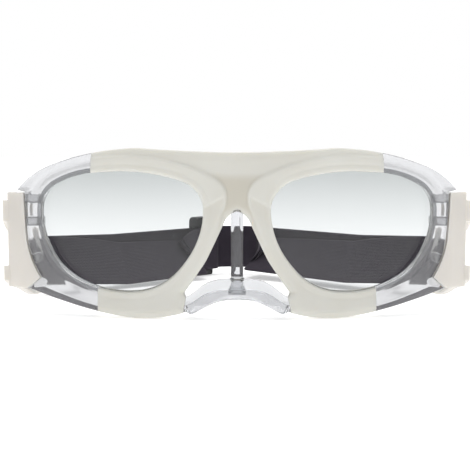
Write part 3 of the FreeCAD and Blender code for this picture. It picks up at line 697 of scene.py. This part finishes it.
def rounded_loop(corners, radius, per_corner=5):
    """Closed section through flat corners, each replaced by a short arc that starts and ends radius from it."""
    corners = np.asarray(corners, float)
    before, after = np.roll(corners, 1, 0), np.roll(corners, -1, 0)
    towards_before = (before - corners) / np.linalg.norm(before - corners, axis=1)[:, None]
    towards_after = (after - corners) / np.linalg.norm(after - corners, axis=1)[:, None]
    t = np.linspace(0, 1, per_corner)[None, :, None]
    a, c = corners + towards_before * radius, corners + towards_after * radius
    curve = (1 - t) ** 2 * a[:, None] + 2 * t * (1 - t) * corners[:, None] + t**2 * c[:, None]
    return curve.reshape(-1, corners.shape[1])


def bell(x, low, rise, power, half=18.8):
    """low + rise (1 + cos(pi |x / half|^power)) / 2."""
    return low + rise * 0.5 * (1 + np.cos(np.pi * np.minimum(1, np.abs(x) / half) ** power))


def saddle_shell():
    """Saddle: at each x an upright front face, then a sheet that slopes up and back, its edges rounded.
    Near its ends the front is tucked in under the cover, and the lower edge is not let down."""
    half, sheet, wall, letdown = 19.6, 1.9, 2.1, 1.2
    x = np.linspace(-half, half, 91)
    bottom, crease, back = bell(x, 2.2, 5.7, 1.4), bell(x, 4.4, 5.8, 2.0), bell(x, 6.4, 6.6, 2.0)
    tuck = smooth_step((np.abs(x) - 14.6) / 3.4)
    bottom = bottom - letdown * (1 - smooth_step((np.abs(x) - 15.4) / 2.2))
    y_front, y_back = 1.2 + 1.6 * tuck, np.full_like(x, 11.2)
    corners = np.array([
        (y_front, bottom), (y_front, crease), (y_back, back), (y_back, back - sheet),
        (y_front + wall, bottom + 0.2),
    ]).transpose(2, 0, 1)
    loops = np.array([rounded_loop(section, 0.45, 4) for section in corners])
    return tube(np.concatenate([np.broadcast_to(x[:, None, None], loops.shape[:2] + (1,)), loops], 2))


def stem_shell():
    """Stem: a bar with bevelled front edges, its half width and depth given at heights and eased between them."""
    heights, halves, depths = np.array([
        (8.6, 2.9, 1.2), (9.2, 3.0, 1.6), (11.4, 2.5, 1.9), (11.7, 2.15, 2.2), (13.2, 2.15, 2.2),
        (13.4, 2.45, 2.9), (13.8, 2.45, 3.2), (14.1, 2.1, 3.6), (15.0, 2.05, 3.8), (36.0, 2.1, 3.8),
        (37.4, 2.2, 3.8),
    ]).T
    z = np.sort(np.concatenate([heights, np.linspace(15.5, 35.5, 12)]))
    half, deep = np.interp(z, heights, halves), np.interp(z, heights, depths)
    section = rounded_loop([(-1, 0), (-0.55, -1), (0.55, -1), (1, 0), (1, 1), (-1, 1)], 0.18, 4)
    x = section[None, :, 0] * half[:, None]
    front, bevel = 1.0, 1.2
    y = np.where(
        section[:, 1] < 0, front + (1 + section[:, 1]) * bevel, front + bevel + section[:, 1] * deep[:, None])
    return tube(np.stack([x, y, np.broadcast_to(z[:, None], x.shape)], 2))


def turned_shell(profile, centre, steps=24):
    """Round piece: (radius, height) profile turned about an upright axis."""
    profile = np.asarray(profile, float)
    angles = np.linspace(0, 2 * np.pi, steps, endpoint=False)
    ring = np.stack([np.cos(angles), np.sin(angles)], 1)
    points = np.concatenate([
        np.array(centre)[None, None, :] + ring[None] * profile[:, 0][:, None, None],
        np.broadcast_to(profile[:, 1][:, None, None], (len(profile), steps, 1)),
    ], 2)
    return tube(points)


def box_shell(low, high, radius):
    """Upright block with rounded upright edges, drawn in at its top and bottom."""
    (x0, y0, z0), (x1, y1, z1) = low, high
    loop = rounded_loop([(x0, y0), (x1, y0), (x1, y1), (x0, y1)], radius, 4)
    inset = loop + (loop.mean(0) - loop) * 0.12
    soft = 0.35
    z = np.array([z0, z0 + soft, z1 - soft, z1])
    heights = np.broadcast_to(z[:, None, None], (4, len(loop), 1))
    return tube(np.concatenate([np.stack([inset, loop, loop, inset]), heights], 2))


def pad_shell():
    """Foam pad on the left arm's head side: rings drawn in from its side outline, thick by PAD_THICKNESS times
    root(1 - share^4), and flat where it lies on the arm, sunk in by PAD_SINK."""
    outline = resampled(arc_chain(PAD_OUTLINE, closed=True, reach=3.0), 73)[:-1][::-1]
    middle = outline.mean(0)
    share = np.sin(np.linspace(np.pi / 2, 0, 14))[:-1]
    disc = middle + (outline - middle) * share[:, None, None]
    face_x = np.interp(disc[..., 0], ARM_OUTER_Y, ARM_OUTER_X) + ARM_WALL
    pole_x = np.interp(middle[0], ARM_OUTER_Y, ARM_OUTER_X) + ARM_WALL
    crown = PAD_THICKNESS * np.sqrt(np.maximum(1 - share**4, 0))[:, None]
    layers = [np.stack([face_x + height, disc[..., 0], disc[..., 1]], 2) for height in (crown, -PAD_SINK)]
    return closed_disc(layers, [(pole_x + height, *middle) for height in (PAD_THICKNESS, -PAD_SINK)])


# ---------------------------------------------------------------- shapes of the strap


def unit(vector):
    """The vector at length one."""
    return vector / np.linalg.norm(vector)


def rear_geometry():
    """Directions of the rear strap's two straight runs, where its bend starts and ends, and the bend's centre."""
    left, right = unit(REAR_APEX - REAR_LEFT), unit(REAR_RIGHT - REAR_APEX)
    tangent = REAR_BEND_RADIUS * math.tan(math.acos(left @ right) / 2)
    start, end = REAR_APEX - left * tangent, REAR_APEX + right * tangent
    return left, right, start, end, start + inwards(left) * REAR_BEND_RADIUS


def inwards(along):
    """The side of a run that faces the front."""
    return np.array((along[1], -along[0]))


def leaning_foot(point, side, lean, thickness, width):
    """Foot of a leaning inner layer whose top edge lies against the outer layer at the point."""
    return point + side * (thickness + INNER_AIR + width * math.sin(math.radians(lean)))


def slider_point(u, n):
    """Plan point u along the strap and n towards the front from the slider's middle."""
    along, _, start, _, _ = rear_geometry()
    return start - along * SLIDER_FROM_BEND + along * u + inwards(along) * n


def outer_stations():
    """Outer layer from the left arm's slot round the back to the right arm's, as (x, y, foot height, lean)."""
    _, _, start, end, centre = rear_geometry()
    middle = centre + unit((start + end) / 2 - centre) * REAR_BEND_RADIUS
    bend = arc_through(start, middle, end, 24)
    rear = np.concatenate([[REAR_LEFT], bend, [REAR_RIGHT]])
    rows = [(-ARM_BAR_OUTSIDE, ARM_SLOT_Y, STRAP_ARM_Z, 0), (-ARM_BAR_OUTSIDE, ARM_BAR_BACK_Y, STRAP_ARM_Z, 0)]
    rows += [(x, y, STRAP_REAR_Z, 0) for x, y in rear]
    rows += [(ARM_BAR_OUTSIDE, ARM_BAR_BACK_Y, STRAP_ARM_Z, 0), (ARM_BAR_OUTSIDE, ARM_SLOT_Y, STRAP_ARM_Z, 0)]
    return np.array(rows, float)


def inner_left_stations(thickness, width):
    """Inner layer from the left arm's slot to the slider's loop. The third row is the rear corner's foot."""
    side = inwards(rear_geometry()[0])
    bend = leaning_foot(REAR_LEFT, side, LEFT_LEANS[0], thickness, width)
    turned = leaning_foot(slider_point(-SLIDER_HALF - LEFT_TWIST, 0), side, LEFT_LEANS[1], thickness, width)
    return np.array([
        (-ARM_BAR_INSIDE, ARM_SLOT_Y, STRAP_ARM_Z, 0), (-ARM_BAR_INSIDE, ARM_BAR_BACK_Y, STRAP_ARM_Z, 0),
        (*bend, LEFT_FEET[0], LEFT_LEANS[0]), (*turned, LEFT_FEET[1], LEFT_LEANS[1]),
        (*slider_point(-SLIDER_HALF, LOOP_FRONT), STRAP_REAR_Z, 0),
        (*slider_point(0, LOOP_FRONT), STRAP_REAR_Z, 0),
    ])


def inner_right_stations(thickness, width):
    """Inner layer from its sewn end to the right arm's slot. The fourth row is the rear corner's foot."""
    _, along, _, start, _ = rear_geometry()
    side = inwards(along)
    sewn = start + along * SEWN_LENGTH
    turned = leaning_foot(sewn + along * RIGHT_TWIST, side, RIGHT_LEANS[1], thickness, width)
    bend = leaning_foot(REAR_RIGHT, side, RIGHT_LEANS[0], thickness, width)
    return np.array([
        (*(start + side * thickness), STRAP_REAR_Z, 0), (*(sewn + side * thickness), STRAP_REAR_Z, 0),
        (*turned, RIGHT_FEET[1], RIGHT_LEANS[1]), (*bend, RIGHT_FEET[0], RIGHT_LEANS[0]),
        (ARM_BAR_INSIDE, ARM_BAR_BACK_Y, STRAP_ARM_Z, 0), (ARM_BAR_INSIDE, ARM_SLOT_Y, STRAP_ARM_Z, 0),
    ])


def band_section(width, thickness, ribs, rib_height):
    """Webbing section as (height up the band, offset across it): two ribbed faces and two round selvedges."""
    per_rib, selvedge, thinnest = 4, 0.55, 0.02
    up = np.linspace(0, width, ribs * per_rib + 1)
    edge = np.minimum(np.minimum(up, width - up) / selvedge, 1)
    grooves = rib_height * (1 - np.abs(np.sin(np.pi * up / width * ribs))) * edge
    half = np.maximum(thickness / 2 * np.sqrt(np.maximum(1 - (1 - edge) ** 2, 0.0)) - grooves, thinnest)
    return np.concatenate([np.stack([up, half], 1), np.stack([up[::-1], -half[::-1]], 1)])


def band_shell(line, section, spacing=1.0):
    """Section carried along (x, y, foot, lean) rows: foot + rise a + thick b, with rise = up cos - inwards sin.
    Also gives each point's (distance run, height up the band)."""
    count = max(3, int(run_length(line)[-1] / spacing) + 1)
    line = resampled(line, count)
    tangent = np.gradient(line[:, :2], axis=0)
    tangent /= np.linalg.norm(tangent, axis=1)[:, None]
    side = np.stack([tangent[:, 1], -tangent[:, 0], np.zeros(count)], 1)
    lean = np.radians(line[:, 3])[:, None]
    up = np.array((0.0, 0.0, 1.0))
    rise, thick = up * np.cos(lean) - side * np.sin(lean), side * np.cos(lean) + up * np.sin(lean)
    foot = line[:, :3]
    sections = foot[:, None] + rise[:, None] * section[None, :, 0:1] + thick[:, None] * section[None, :, 1:2]
    other_face = 100 * (section[:, 1] < 0)
    uv = np.stack(np.meshgrid(run_length(line), section[:, 0] + other_face, indexing="ij"), 2)
    return tube(sections), uv.reshape(-1, 2)


def cut_line(line, start, end):
    """The part of an eased line between its points nearest to two plan points."""
    a, b = nearest_index(line[:, :2], start), nearest_index(line[:, :2], end)
    return line[min(a, b) : max(a, b) + 1]


def thread_shell(path, radius, steps=8):
    """Round thread along a path: centre + radius (cos normal + sin binormal) at each step."""
    tangent = np.gradient(path, axis=0)
    tangent /= np.linalg.norm(tangent, axis=1)[:, None]
    normal = np.broadcast_to(np.array((*inwards(rear_geometry()[1]), 0.0)), tangent.shape)
    sideways = np.cross(tangent, normal)
    sideways /= np.linalg.norm(sideways, axis=1)[:, None]
    angles = np.linspace(0, 2 * np.pi, steps, endpoint=False)[None, :, None]
    return tube(path[:, None] + radius * (np.cos(angles) * normal[:, None] + np.sin(angles) * sideways[:, None]))


def tack_shell():
    """Two bar tacks: zigzags of thread up the sewn end, standing half proud of it."""
    _, along, _, start, _ = rear_geometry()
    side, rows = inwards(along), []
    for distance in TACKS_ALONG:
        rise = np.linspace(STRAP_REAR_Z + TACK_HEIGHTS[0], STRAP_REAR_Z + TACK_HEIGHTS[1], 161)
        swing = TACK_SWING * (2 / np.pi) * np.arcsin(np.sin(rise * 2 * np.pi / TACK_PITCH))
        plan = start + side * TACK_FRONT + along * distance + swing[:, None] * along
        rows.append(thread_shell(np.concatenate([plan, rise[:, None]], 1), THREAD_RADIUS))
    return joined(rows)


def slider_ring(u_low, u_high, n_low, n_high, z_low, z_high, corner, wall):
    """Flat ring between two depths: a rounded rectangle in the (u, z) plane with a smaller one inside, set in by
    wall, which is ((low u, low z), (high u, high z))."""
    (low_u, low_z), (high_u, high_z) = wall
    outer = rounded_loop([(u_low, z_low), (u_high, z_low), (u_high, z_high), (u_low, z_high)], corner, 8)
    inner = rounded_loop(
        [(u_low + low_u, z_low + low_z), (u_high - high_u, z_low + low_z),
         (u_high - high_u, z_high - high_z), (u_low + low_u, z_high - high_z)], 0.5, 8)
    soft = 0.35
    middle = (outer + inner) / 2
    out_in, in_in = outer + (middle - outer) * 0.3, inner + (middle - inner) * 0.3
    flat_rows = [(out_in, n_low), (outer, n_low + soft), (outer, n_high - soft), (out_in, n_high),
                 (in_in, n_high), (inner, n_high - soft), (inner, n_low + soft), (in_in, n_low)]
    sections = np.stack([slider_spots(row, n) for row, n in flat_rows], 1)
    rows, columns = sections.shape[:2]
    return sections.reshape(-1, 3), grid_quads(rows, columns, wrap_rows=True, wrap_columns=True).tolist()


def slider_spots(spots, n):
    """Points of the slider at (u, z) spots and depth n."""
    return np.concatenate([slider_point(0, n) + spots[:, :1] * rear_geometry()[0], spots[:, 1:]], 1)


def slider_bar(u_low, u_high, n_low, n_high, z_low, z_high):
    """Upright bar of the slider with rounded edges."""
    loop = rounded_loop([(u_low, n_low), (u_high, n_low), (u_high, n_high), (u_low, n_high)], 0.35, 4)
    rows = [np.stack([slider_spots(np.array([[u, z]]), n)[0] for u, n in loop]) for z in (z_low, z_high)]
    return tube(np.array(rows))


def slider_shell():
    """Slider: a flat ring with both ends thickened forwards, and the two bars that the webbing turns round."""
    top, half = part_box("strap_slider")[1].z / MM, SLIDER_HALF
    wall = ((SLIDER_BAR, SLIDER_RAIL), (SLIDER_BAR, SLIDER_TOP_RAIL))
    shells = [slider_ring(-half, half, *RING_DEPTHS, 0.0, top, 2.4, wall)]
    for low, high in ((0.0, SLIDER_RAIL), (top - SLIDER_TOP_RAIL, top)):
        outline = rounded_loop([(-half, low), (half, low), (half, high), (-half, high)], 1.1, 8)
        inset = outline + (outline.mean(0) - outline) * 0.06
        rows = [(inset, -1.2), (outline, -0.9), (outline, 3.1), (inset, 3.6)]
        shells.append(tube(np.array([slider_spots(row, n) for row, n in rows])))
    shells.append(slider_bar(-SLIDER_BAR / 2, SLIDER_BAR / 2, *MIDDLE_BAR_DEPTHS, BAR_BOTTOM, top - BAR_SHORT))
    shells.append(slider_bar(half - SLIDER_BAR, half, *LAST_BAR_DEPTHS, BAR_BOTTOM, top - BAR_SHORT))
    return joined(shells)


# ---------------------------------------------------------------- settings


def length_setting(name, description, default):
    """A length in metres."""
    return FloatProperty(name=name, description=description, default=default, unit="LENGTH")


def colour_setting(name, description, default):
    """A colour property."""
    return FloatVectorProperty(
        name=name, description=description, default=default, size=4, min=0.0, max=1.0, subtype="COLOR")


class GogglesFront(bpy.types.PropertyGroup):
    """Sizes of the front."""

    front_radius: length_setting("Front radius", "Plan radius of the wrap", 0.190)
    rim_depth: length_setting("Rim depth", "Thickness of the rims", 0.007)
    chamfer_width: length_setting("Chamfer width", "Width of the sloped outer edge", 0.0021)
    chamfer_depth: length_setting("Chamfer depth", "Drop of the sloped outer edge", 0.0013)
    recess_depth: length_setting("Bridge recess", "Depth of the field between the rims", 0.0007)
    lens_setback: length_setting("Lens setback", "Depth of the lens behind the front", 0.0028)
    lens_thickness: length_setting("Lens thickness", "Thickness of each lens", 0.002)


class GogglesStrap(bpy.types.PropertyGroup):
    """Sizes of the strap."""

    width: length_setting("Width", "Width of the webbing", 0.019)
    thickness: length_setting("Thickness", "Thickness of the webbing", 0.0012)
    ribs: IntProperty(name="Ribs", description="Cords knitted along the webbing", default=30, min=4)
    rib_height: length_setting("Rib height", "Depth of the grooves between cords", 0.00003)
    ease: length_setting("Ease", "Reach over which bends are rounded", 0.0034)


class GogglesFinish(bpy.types.PropertyGroup):
    """Colours of the finishes."""

    cover: colour_setting("Soft cover", "Milky soft cover", (0.68, 0.675, 0.63, 1))
    # Painted shade: the cover's shade colour darkens the bridge recess and the leg steps, besides its slow random
    # changes of tone
    cover_tone_and_painted_shade: colour_setting("Soft cover shade", "Cover where it is deepest", (0.58, 0.555, 0.485, 1))
    arm: colour_setting("Arms", "Milky side arms", (0.69, 0.66, 0.62, 1))
    arm_shade: colour_setting("Arms shade", "Arms where they are deepest", (0.61, 0.58, 0.53, 1))
    clear: colour_setting("Clear plastic", "Clear rims and hinge knuckles", (0.665, 0.67, 0.685, 1))
    saddle: colour_setting("Saddle", "Clear nose saddle and stem", (0.60, 0.61, 0.63, 1))
    # Painted shade: the lens top and bottom colours are the backdrop's shade seen through the lens, darker at the
    # top
    lens_top: colour_setting("Lens top", "Tint at the top of each lens", (0.45, 0.475, 0.475, 1))
    lens_bottom: colour_setting("Lens bottom", "Tint low on each lens", (0.70, 0.715, 0.72, 1))
    # Painted shade: the strap's dark colour goes between its threads and its light colour on them
    strap_dark: colour_setting("Strap dark", "Between the threads", (0.014, 0.012, 0.015, 1))
    strap_light: colour_setting("Strap light", "On the threads", (0.062, 0.050, 0.072, 1))
    lint: colour_setting("Lint", "Specks on the webbing", (0.45, 0.45, 0.46, 1))
    plastic: colour_setting("Slider", "Black moulded plastic", (0.012, 0.012, 0.013, 1))
    pad: colour_setting("Pads", "Foam pads inside the arms", (0.60, 0.60, 0.58, 1))


class GogglesStudio(bpy.types.PropertyGroup):
    """Camera and lights."""

    camera_distance: length_setting("Camera distance", "From the camera to the front", 0.350)
    camera_height: length_setting("Camera height", "Above the table", 0.0613)
    camera_side: length_setting("Camera side", "Off the middle", -0.0007)
    pitch: FloatProperty(
        name="Pitch", description="Camera's tilt down", default=math.radians(5.25), unit="ROTATION")
    lens: FloatProperty(name="Focal length", description="In millimetres on a 36 mm sensor", default=80.0)
    surround_front: FloatProperty(
        name="Front surround", description="Brightness of the studio on the camera's side", default=0.5, min=0.0)


# ---------------------------------------------------------------- operators


def colours(context, *names):
    """These colours of the finish settings."""
    return [tuple(getattr(context.scene.goggles_finish, name)) for name in names]


class GOGGLES_OT_cover(bpy.types.Operator):
    """Soft milky cover over brow, bridge, legs and lower rims"""

    bl_idname = "goggles.cover"
    bl_label = "Soft cover"

    def execute(self, context):
        sections, recess = rim_sections(COVER_LINES, front_sizes(context))
        left = tube(sections)
        both, recess = joined([left, mirror_of(left)]), np.tile(recess.ravel(), 2)
        # Painted shade: the recess share darkens the cover towards its shade colour in the bridge recess and below
        # the leg steps
        material = milky_material(
            "milky_soft_cover", *colours(context, "cover", "cover_tone_and_painted_shade"), scatter=0.35, roughness=0.45,
            recess=True)
        cover = piece("cover_soft", both, material, recess=recess, smooth_angle=50)
        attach(cover, "front")
        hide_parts("front_cover")
        return {"FINISHED"}


class GOGGLES_OT_clear_frame(bpy.types.Operator):
    """Clear outer rims with their end pieces and hinge knuckles"""

    bl_idname = "goggles.clear_frame"
    bl_label = "Clear frame"

    def execute(self, context):
        clear = clear_material(
            "clear_polycarbonate", *colours(context, "clear"), ior=1.4, waviness=0.00008, roughness=0.09,
            clearness=0.84)
        left = tube(rim_sections(CLEAR_LINES, front_sizes(context))[0])
        frame_piece = piece("frame_clear", joined([left, mirror_of(left)]), clear)
        knuckles = []
        for low in KNUCKLE_BOTTOMS:
            high = low + KNUCKLE_LENGTH
            flat = KNUCKLE_RADIUS - KNUCKLE_EDGE
            profile = [(KNUCKLE_BORE, low), (flat, low), (KNUCKLE_RADIUS, low + KNUCKLE_EDGE),
                       (KNUCKLE_RADIUS, high - KNUCKLE_EDGE), (flat, high), (KNUCKLE_BORE, high)]
            knuckles.append(turned_shell(profile, (-HINGE_X, HINGE_Y)))
            lug_low, lug_high = (-HINGE_X + LUG_X[0], LUG_Y[0], low), (-HINGE_X + LUG_X[1], LUG_Y[1], high)
            knuckles.append(box_shell(lug_low, lug_high, LUG_CORNER))
        left = joined(knuckles)
        hinge = piece("frame_knuckles", joined([left, mirror_of(left)]), clear)
        for obj in (frame_piece, hinge):
            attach(obj, "front")
        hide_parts("front_frame")
        return {"FINISHED"}


class GOGGLES_OT_lenses(bpy.types.Operator):
    """Two clear lenses, curved with the front"""

    bl_idname = "goggles.lenses"
    bl_label = "Lenses"

    def execute(self, context):
        # Painted shade: the lens colour carries the backdrop's shade seen through it, darker towards the top
        material = lens_material(*colours(context, "lens_top", "lens_bottom"))
        left = lens_shell(front_sizes(context))
        for side, shell in (("left", left), ("right", mirror_of(left))):
            lens = piece(f"lens_pane_{side}", shell, material)
            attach(lens, "front")
            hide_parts(f"lens_{side}")
        return {"FINISHED"}


class GOGGLES_OT_saddle(bpy.types.Operator):
    """Clear nose saddle and the stem that braces it to the bridge"""

    bl_idname = "goggles.saddle"
    bl_label = "Nose saddle"

    def execute(self, context):
        clear = clear_material(
            "clear_saddle_plastic", *colours(context, "saddle"), ior=1.5, waviness=0.00005, roughness=0.02,
            clearness=0.95)
        saddle = piece("saddle_clear", saddle_shell(), clear)
        stem = piece("saddle_stem", stem_shell(), clear)
        for obj in (saddle, stem):
            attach(obj, "front")
        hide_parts("nose_saddle")
        return {"FINISHED"}


class GOGGLES_OT_arms(bpy.types.Operator):
    """Milky side arms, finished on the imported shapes, with their pads and hinge pins"""

    bl_idname = "goggles.arms"
    bl_label = "Side arms"

    def execute(self, context):
        material = milky_material(
            "milky_arm_plastic", *colours(context, "arm", "arm_shade"), scatter=0.4, roughness=0.4)
        steel = plain_material(
            "pin_steel_brushed", (0.6, 0.6, 0.6, 1), (0.45, 0.45, 0.46, 1), roughness=0.3, metallic=1.0)
        foam = plain_material(
            "pad_foam", *colours(context, "pad"), (0.5, 0.5, 0.48, 1), roughness=0.75, grain_scale=2400.0,
            depth=0.00008)
        for side in ("left", "right"):
            arm = frame["nodes"][f"arm_{side}"]
            arm.data.materials[0] = material
            bevelled(arm, width=0.0004, segments=2, angle=35)
            shell = pad_shell() if side == "left" else mirror_of(pad_shell())
            pad = piece(f"pad_{side}", shell, foam, smooth_angle=70)
            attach(pad, f"arm_{side}")
            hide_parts(f"arm_pad_{side}")
            for level in ("upper", "lower"):
                frame["nodes"][f"hinge_pin_{side}_{level}"].data.materials[0] = steel
        return {"FINISHED"}


class GOGGLES_OT_strap(bpy.types.Operator):
    """Elastic strap: outer layer, both inner layers, the turns round the arms and the loop at the slider"""

    bl_idname = "goggles.strap"
    bl_label = "Strap"

    def execute(self, context):
        given = context.scene.goggles_strap
        width, thickness, ease = given.width / MM, given.thickness / MM, given.ease / MM
        section = band_section(width, thickness, given.ribs, given.rib_height / MM)
        material = strap_material("elastic_webbing", *colours(context, "strap_dark", "strap_light", "lint"))
        left_rows, right_rows = inner_left_stations(thickness, width), inner_right_stations(thickness, width)
        outer, left, right = (eased(rows, ease) for rows in (outer_stations(), left_rows, right_rows))
        left_foot, right_foot = left_rows[2, :2], right_rows[3, :2]
        cuts = {
            "strap_rear": (outer, REAR_LEFT, REAR_RIGHT),
            "strap_left_outer_side": (outer, (-ARM_BAR_OUTSIDE, TURN_END_Y), REAR_LEFT),
            "strap_right_outer_side": (outer, REAR_RIGHT, (ARM_BAR_OUTSIDE, TURN_END_Y)),
            "strap_left_inner_side": (left, (-ARM_BAR_INSIDE, TURN_END_Y), left_foot),
            "strap_left_inner_rear": (left, left_foot, slider_point(-SLIDER_HALF, LOOP_FRONT)),
            "strap_right_inner_rear": (right, right_rows[0, :2], right_foot),
            "strap_right_inner_side": (right, right_foot, (ARM_BAR_INSIDE, TURN_END_Y)),
        }
        for name, (line, start, end) in cuts.items():
            shell, uv = band_shell(cut_line(line, start, end), section)
            self.add(name, shell, uv, material)
        for sign, side in ((-1, "left"), (1, "right")):
            corners = ((ARM_BAR_OUTSIDE, TURN_END_Y), (ARM_BAR_OUTSIDE, ARM_SLOT_Y),
                       (ARM_BAR_INSIDE, ARM_SLOT_Y), (ARM_BAR_INSIDE, TURN_END_Y))
            path = np.array([(sign * x, y, STRAP_ARM_Z, 0) for x, y in corners])
            shell, uv = band_shell(eased(path, 1.0, step=0.1), section, spacing=0.3)
            self.add(f"strap_{side}_turn", shell, uv, material)
        self.add_loop(section, material)
        return {"FINISHED"}

    def add_loop(self, section, material):
        """The strap's end, folded round the slider's last bar and sewn to itself."""
        middle, angles = (LOOP_FRONT + LOOP_REAR) / 2, np.linspace(-np.pi / 2, np.pi / 2, 14)
        arc = [(LOOP_FOLD + LOOP_RADIUS * math.cos(a), middle - LOOP_RADIUS * math.sin(a)) for a in angles]
        tail = [(3.6, LOOP_REAR), (3.0, LOOP_REAR + 1.2), (1.2, LOOP_REAR + 1.75)]
        path = [(-SLIDER_HALF, LOOP_FRONT)] + arc + tail
        rows = np.array([(*slider_point(u, n), STRAP_REAR_Z, 0) for u, n in path])
        shell, uv = band_shell(eased(rows, 0.5, step=0.1), section, spacing=0.3)
        self.add("strap_loop_end", shell, uv, material)

    def add(self, node, shell, uv, material):
        """One length of webbing: the side lengths and the left inner rear length have their transform baked and go
        on no body, the others go on the body that their node belongs to."""
        obj = piece(node.replace("strap", "webbing"), shell, material, uv=uv, smooth_angle=60)
        if node.endswith("_side"):
            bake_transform(obj)
        elif node == "strap_left_inner_rear":
            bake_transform(obj)
        else:
            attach(obj, frame["nodes"][node]["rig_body"])
        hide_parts(node)


class GOGGLES_OT_slider(bpy.types.Operator):
    """Black slider, and the thread tacks that sew the strap's other end"""

    bl_idname = "goggles.slider"
    bl_label = "Slider and tacks"

    def execute(self, context):
        plastic = plain_material(
            "slider_black_plastic", *colours(context, "plastic"), (0.02, 0.02, 0.022, 1), roughness=0.42)
        thread = plain_material(
            "tack_thread", (0.05, 0.045, 0.05, 1), (0.03, 0.028, 0.03, 1), roughness=0.7, grain_scale=3000.0)
        slider = piece("slider_black", slider_shell(), plastic)
        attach(slider, "slider")
        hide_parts("strap_slider")
        tacks = piece("tacks_thread", tack_shell(), thread, smooth_angle=80)
        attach(tacks, "front")
        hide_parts("strap_stitching")
        return {"FINISHED"}


class GOGGLES_OT_studio(bpy.types.Operator):
    """White studio: camera, pale floor and soft lights"""

    bl_idname = "goggles.studio"
    bl_label = "Studio"

    def execute(self, context):
        given = context.scene.goggles_studio
        scene = context.scene
        camera = bpy.data.objects.new("camera", bpy.data.cameras.new("camera"))
        camera.data.lens, camera.data.sensor_width = given.lens, 36.0
        camera.data.clip_start, camera.data.clip_end = 0.01, 20.0
        camera.location = (given.camera_side, FRONT_Y - given.camera_distance, given.camera_height)
        camera.rotation_euler = (math.pi / 2 - given.pitch, 0, 0)
        scene.collection.objects.link(camera)
        scene.camera = camera
        scene.view_settings.view_transform = "Standard"

        world = bpy.data.worlds.new("studio")
        world.use_nodes = True
        background = world.node_tree.nodes["Background"]
        nodes = Nodes(world.node_tree)
        direction = nodes.add("ShaderNodeSeparateXYZ", {0: nodes.add("ShaderNodeTexCoord").outputs["Generated"]})
        behind = nodes.ramp(direction.outputs["Y"], -0.25, 0.25, given.surround_front, 1.0)
        above = nodes.ramp(direction.outputs["Z"], 0.5, 0.95, 0.0, 0.25)
        seen = nodes.add("ShaderNodeLightPath").outputs["Is Camera Ray"]
        nodes.feed(background.inputs["Color"], (1, 1, 1, 1))
        nodes.feed(background.inputs["Strength"], nodes.math("MAXIMUM", nodes.math("ADD", behind, above), seen))
        scene.world = world

        reach, drop = 3.0, 0.0002
        mesh = bpy.data.meshes.new("floor")
        mesh.from_pydata([(-reach, -reach, 0), (reach, -reach, 0), (reach, reach, 0), (-reach, reach, 0)], [],
                         [[0, 1, 2, 3]])
        floor = bpy.data.objects.new("floor", mesh)
        floor.location.z = -drop
        scene.collection.objects.link(floor)
        mesh.materials.append(new_material(
            "pale_floor", Base_Color=(0.9, 0.9, 0.9, 1), Roughness=0.9, Emission_Color=(1, 1, 1, 1),
            Emission_Strength=0.45)[0])

        for light in LIGHTS:
            self.add_light(scene, *light)
        return {"FINISHED"}

    def add_light(self, scene, name, location, target, width, height, power):
        """Soft area light turned towards a point."""
        light = bpy.data.lights.new(name, "AREA")
        light.shape, light.size, light.size_y, light.energy = "RECTANGLE", width, height, power
        obj = bpy.data.objects.new(name, light)
        obj.location = location
        obj.rotation_euler = (Vector(target) - Vector(location)).to_track_quat("-Z", "Y").to_euler()
        scene.collection.objects.link(obj)


class GOGGLES_PT_panel(bpy.types.Panel):
    """Lists the goggles' pieces"""

    bl_idname = "GOGGLES_PT_panel"
    bl_label = "Sports Goggles"
    bl_space_type = "VIEW_3D"
    bl_region_type = "UI"
    bl_category = "Goggles"

    def draw(self, context):
        for operator in OPERATORS:
            self.layout.operator(operator.bl_idname)
        for group in SETTINGS:
            box = self.layout.box()
            for key in SETTINGS[group].__annotations__:
                box.prop(getattr(context.scene, group), key)


OPERATORS = (
    GOGGLES_OT_studio, GOGGLES_OT_cover, GOGGLES_OT_clear_frame, GOGGLES_OT_lenses, GOGGLES_OT_saddle,
    GOGGLES_OT_arms, GOGGLES_OT_strap, GOGGLES_OT_slider,
)
SETTINGS = {
    "goggles_front": GogglesFront,
    "goggles_strap": GogglesStrap,
    "goggles_finish": GogglesFinish,
    "goggles_studio": GogglesStudio,
}


def register():
    """Registers settings, operators and panel."""
    for name, group in SETTINGS.items():
        bpy.utils.register_class(group)
        setattr(bpy.types.Scene, name, PointerProperty(type=group))
    for entry in OPERATORS + (GOGGLES_PT_panel,):
        bpy.utils.register_class(entry)


def unregister():
    """Takes the panel, operators and settings away again."""
    for entry in (GOGGLES_PT_panel,) + OPERATORS[::-1]:
        bpy.utils.unregister_class(entry)
    for name, group in SETTINGS.items():
        delattr(bpy.types.Scene, name)
        bpy.utils.unregister_class(group)


def main():
    """Builds every piece in order."""
    register()
    for operator in OPERATORS:
        module, name = operator.bl_idname.split(".")
        getattr(getattr(bpy.ops, module), name)()


if __name__ == "__main__":
    main()
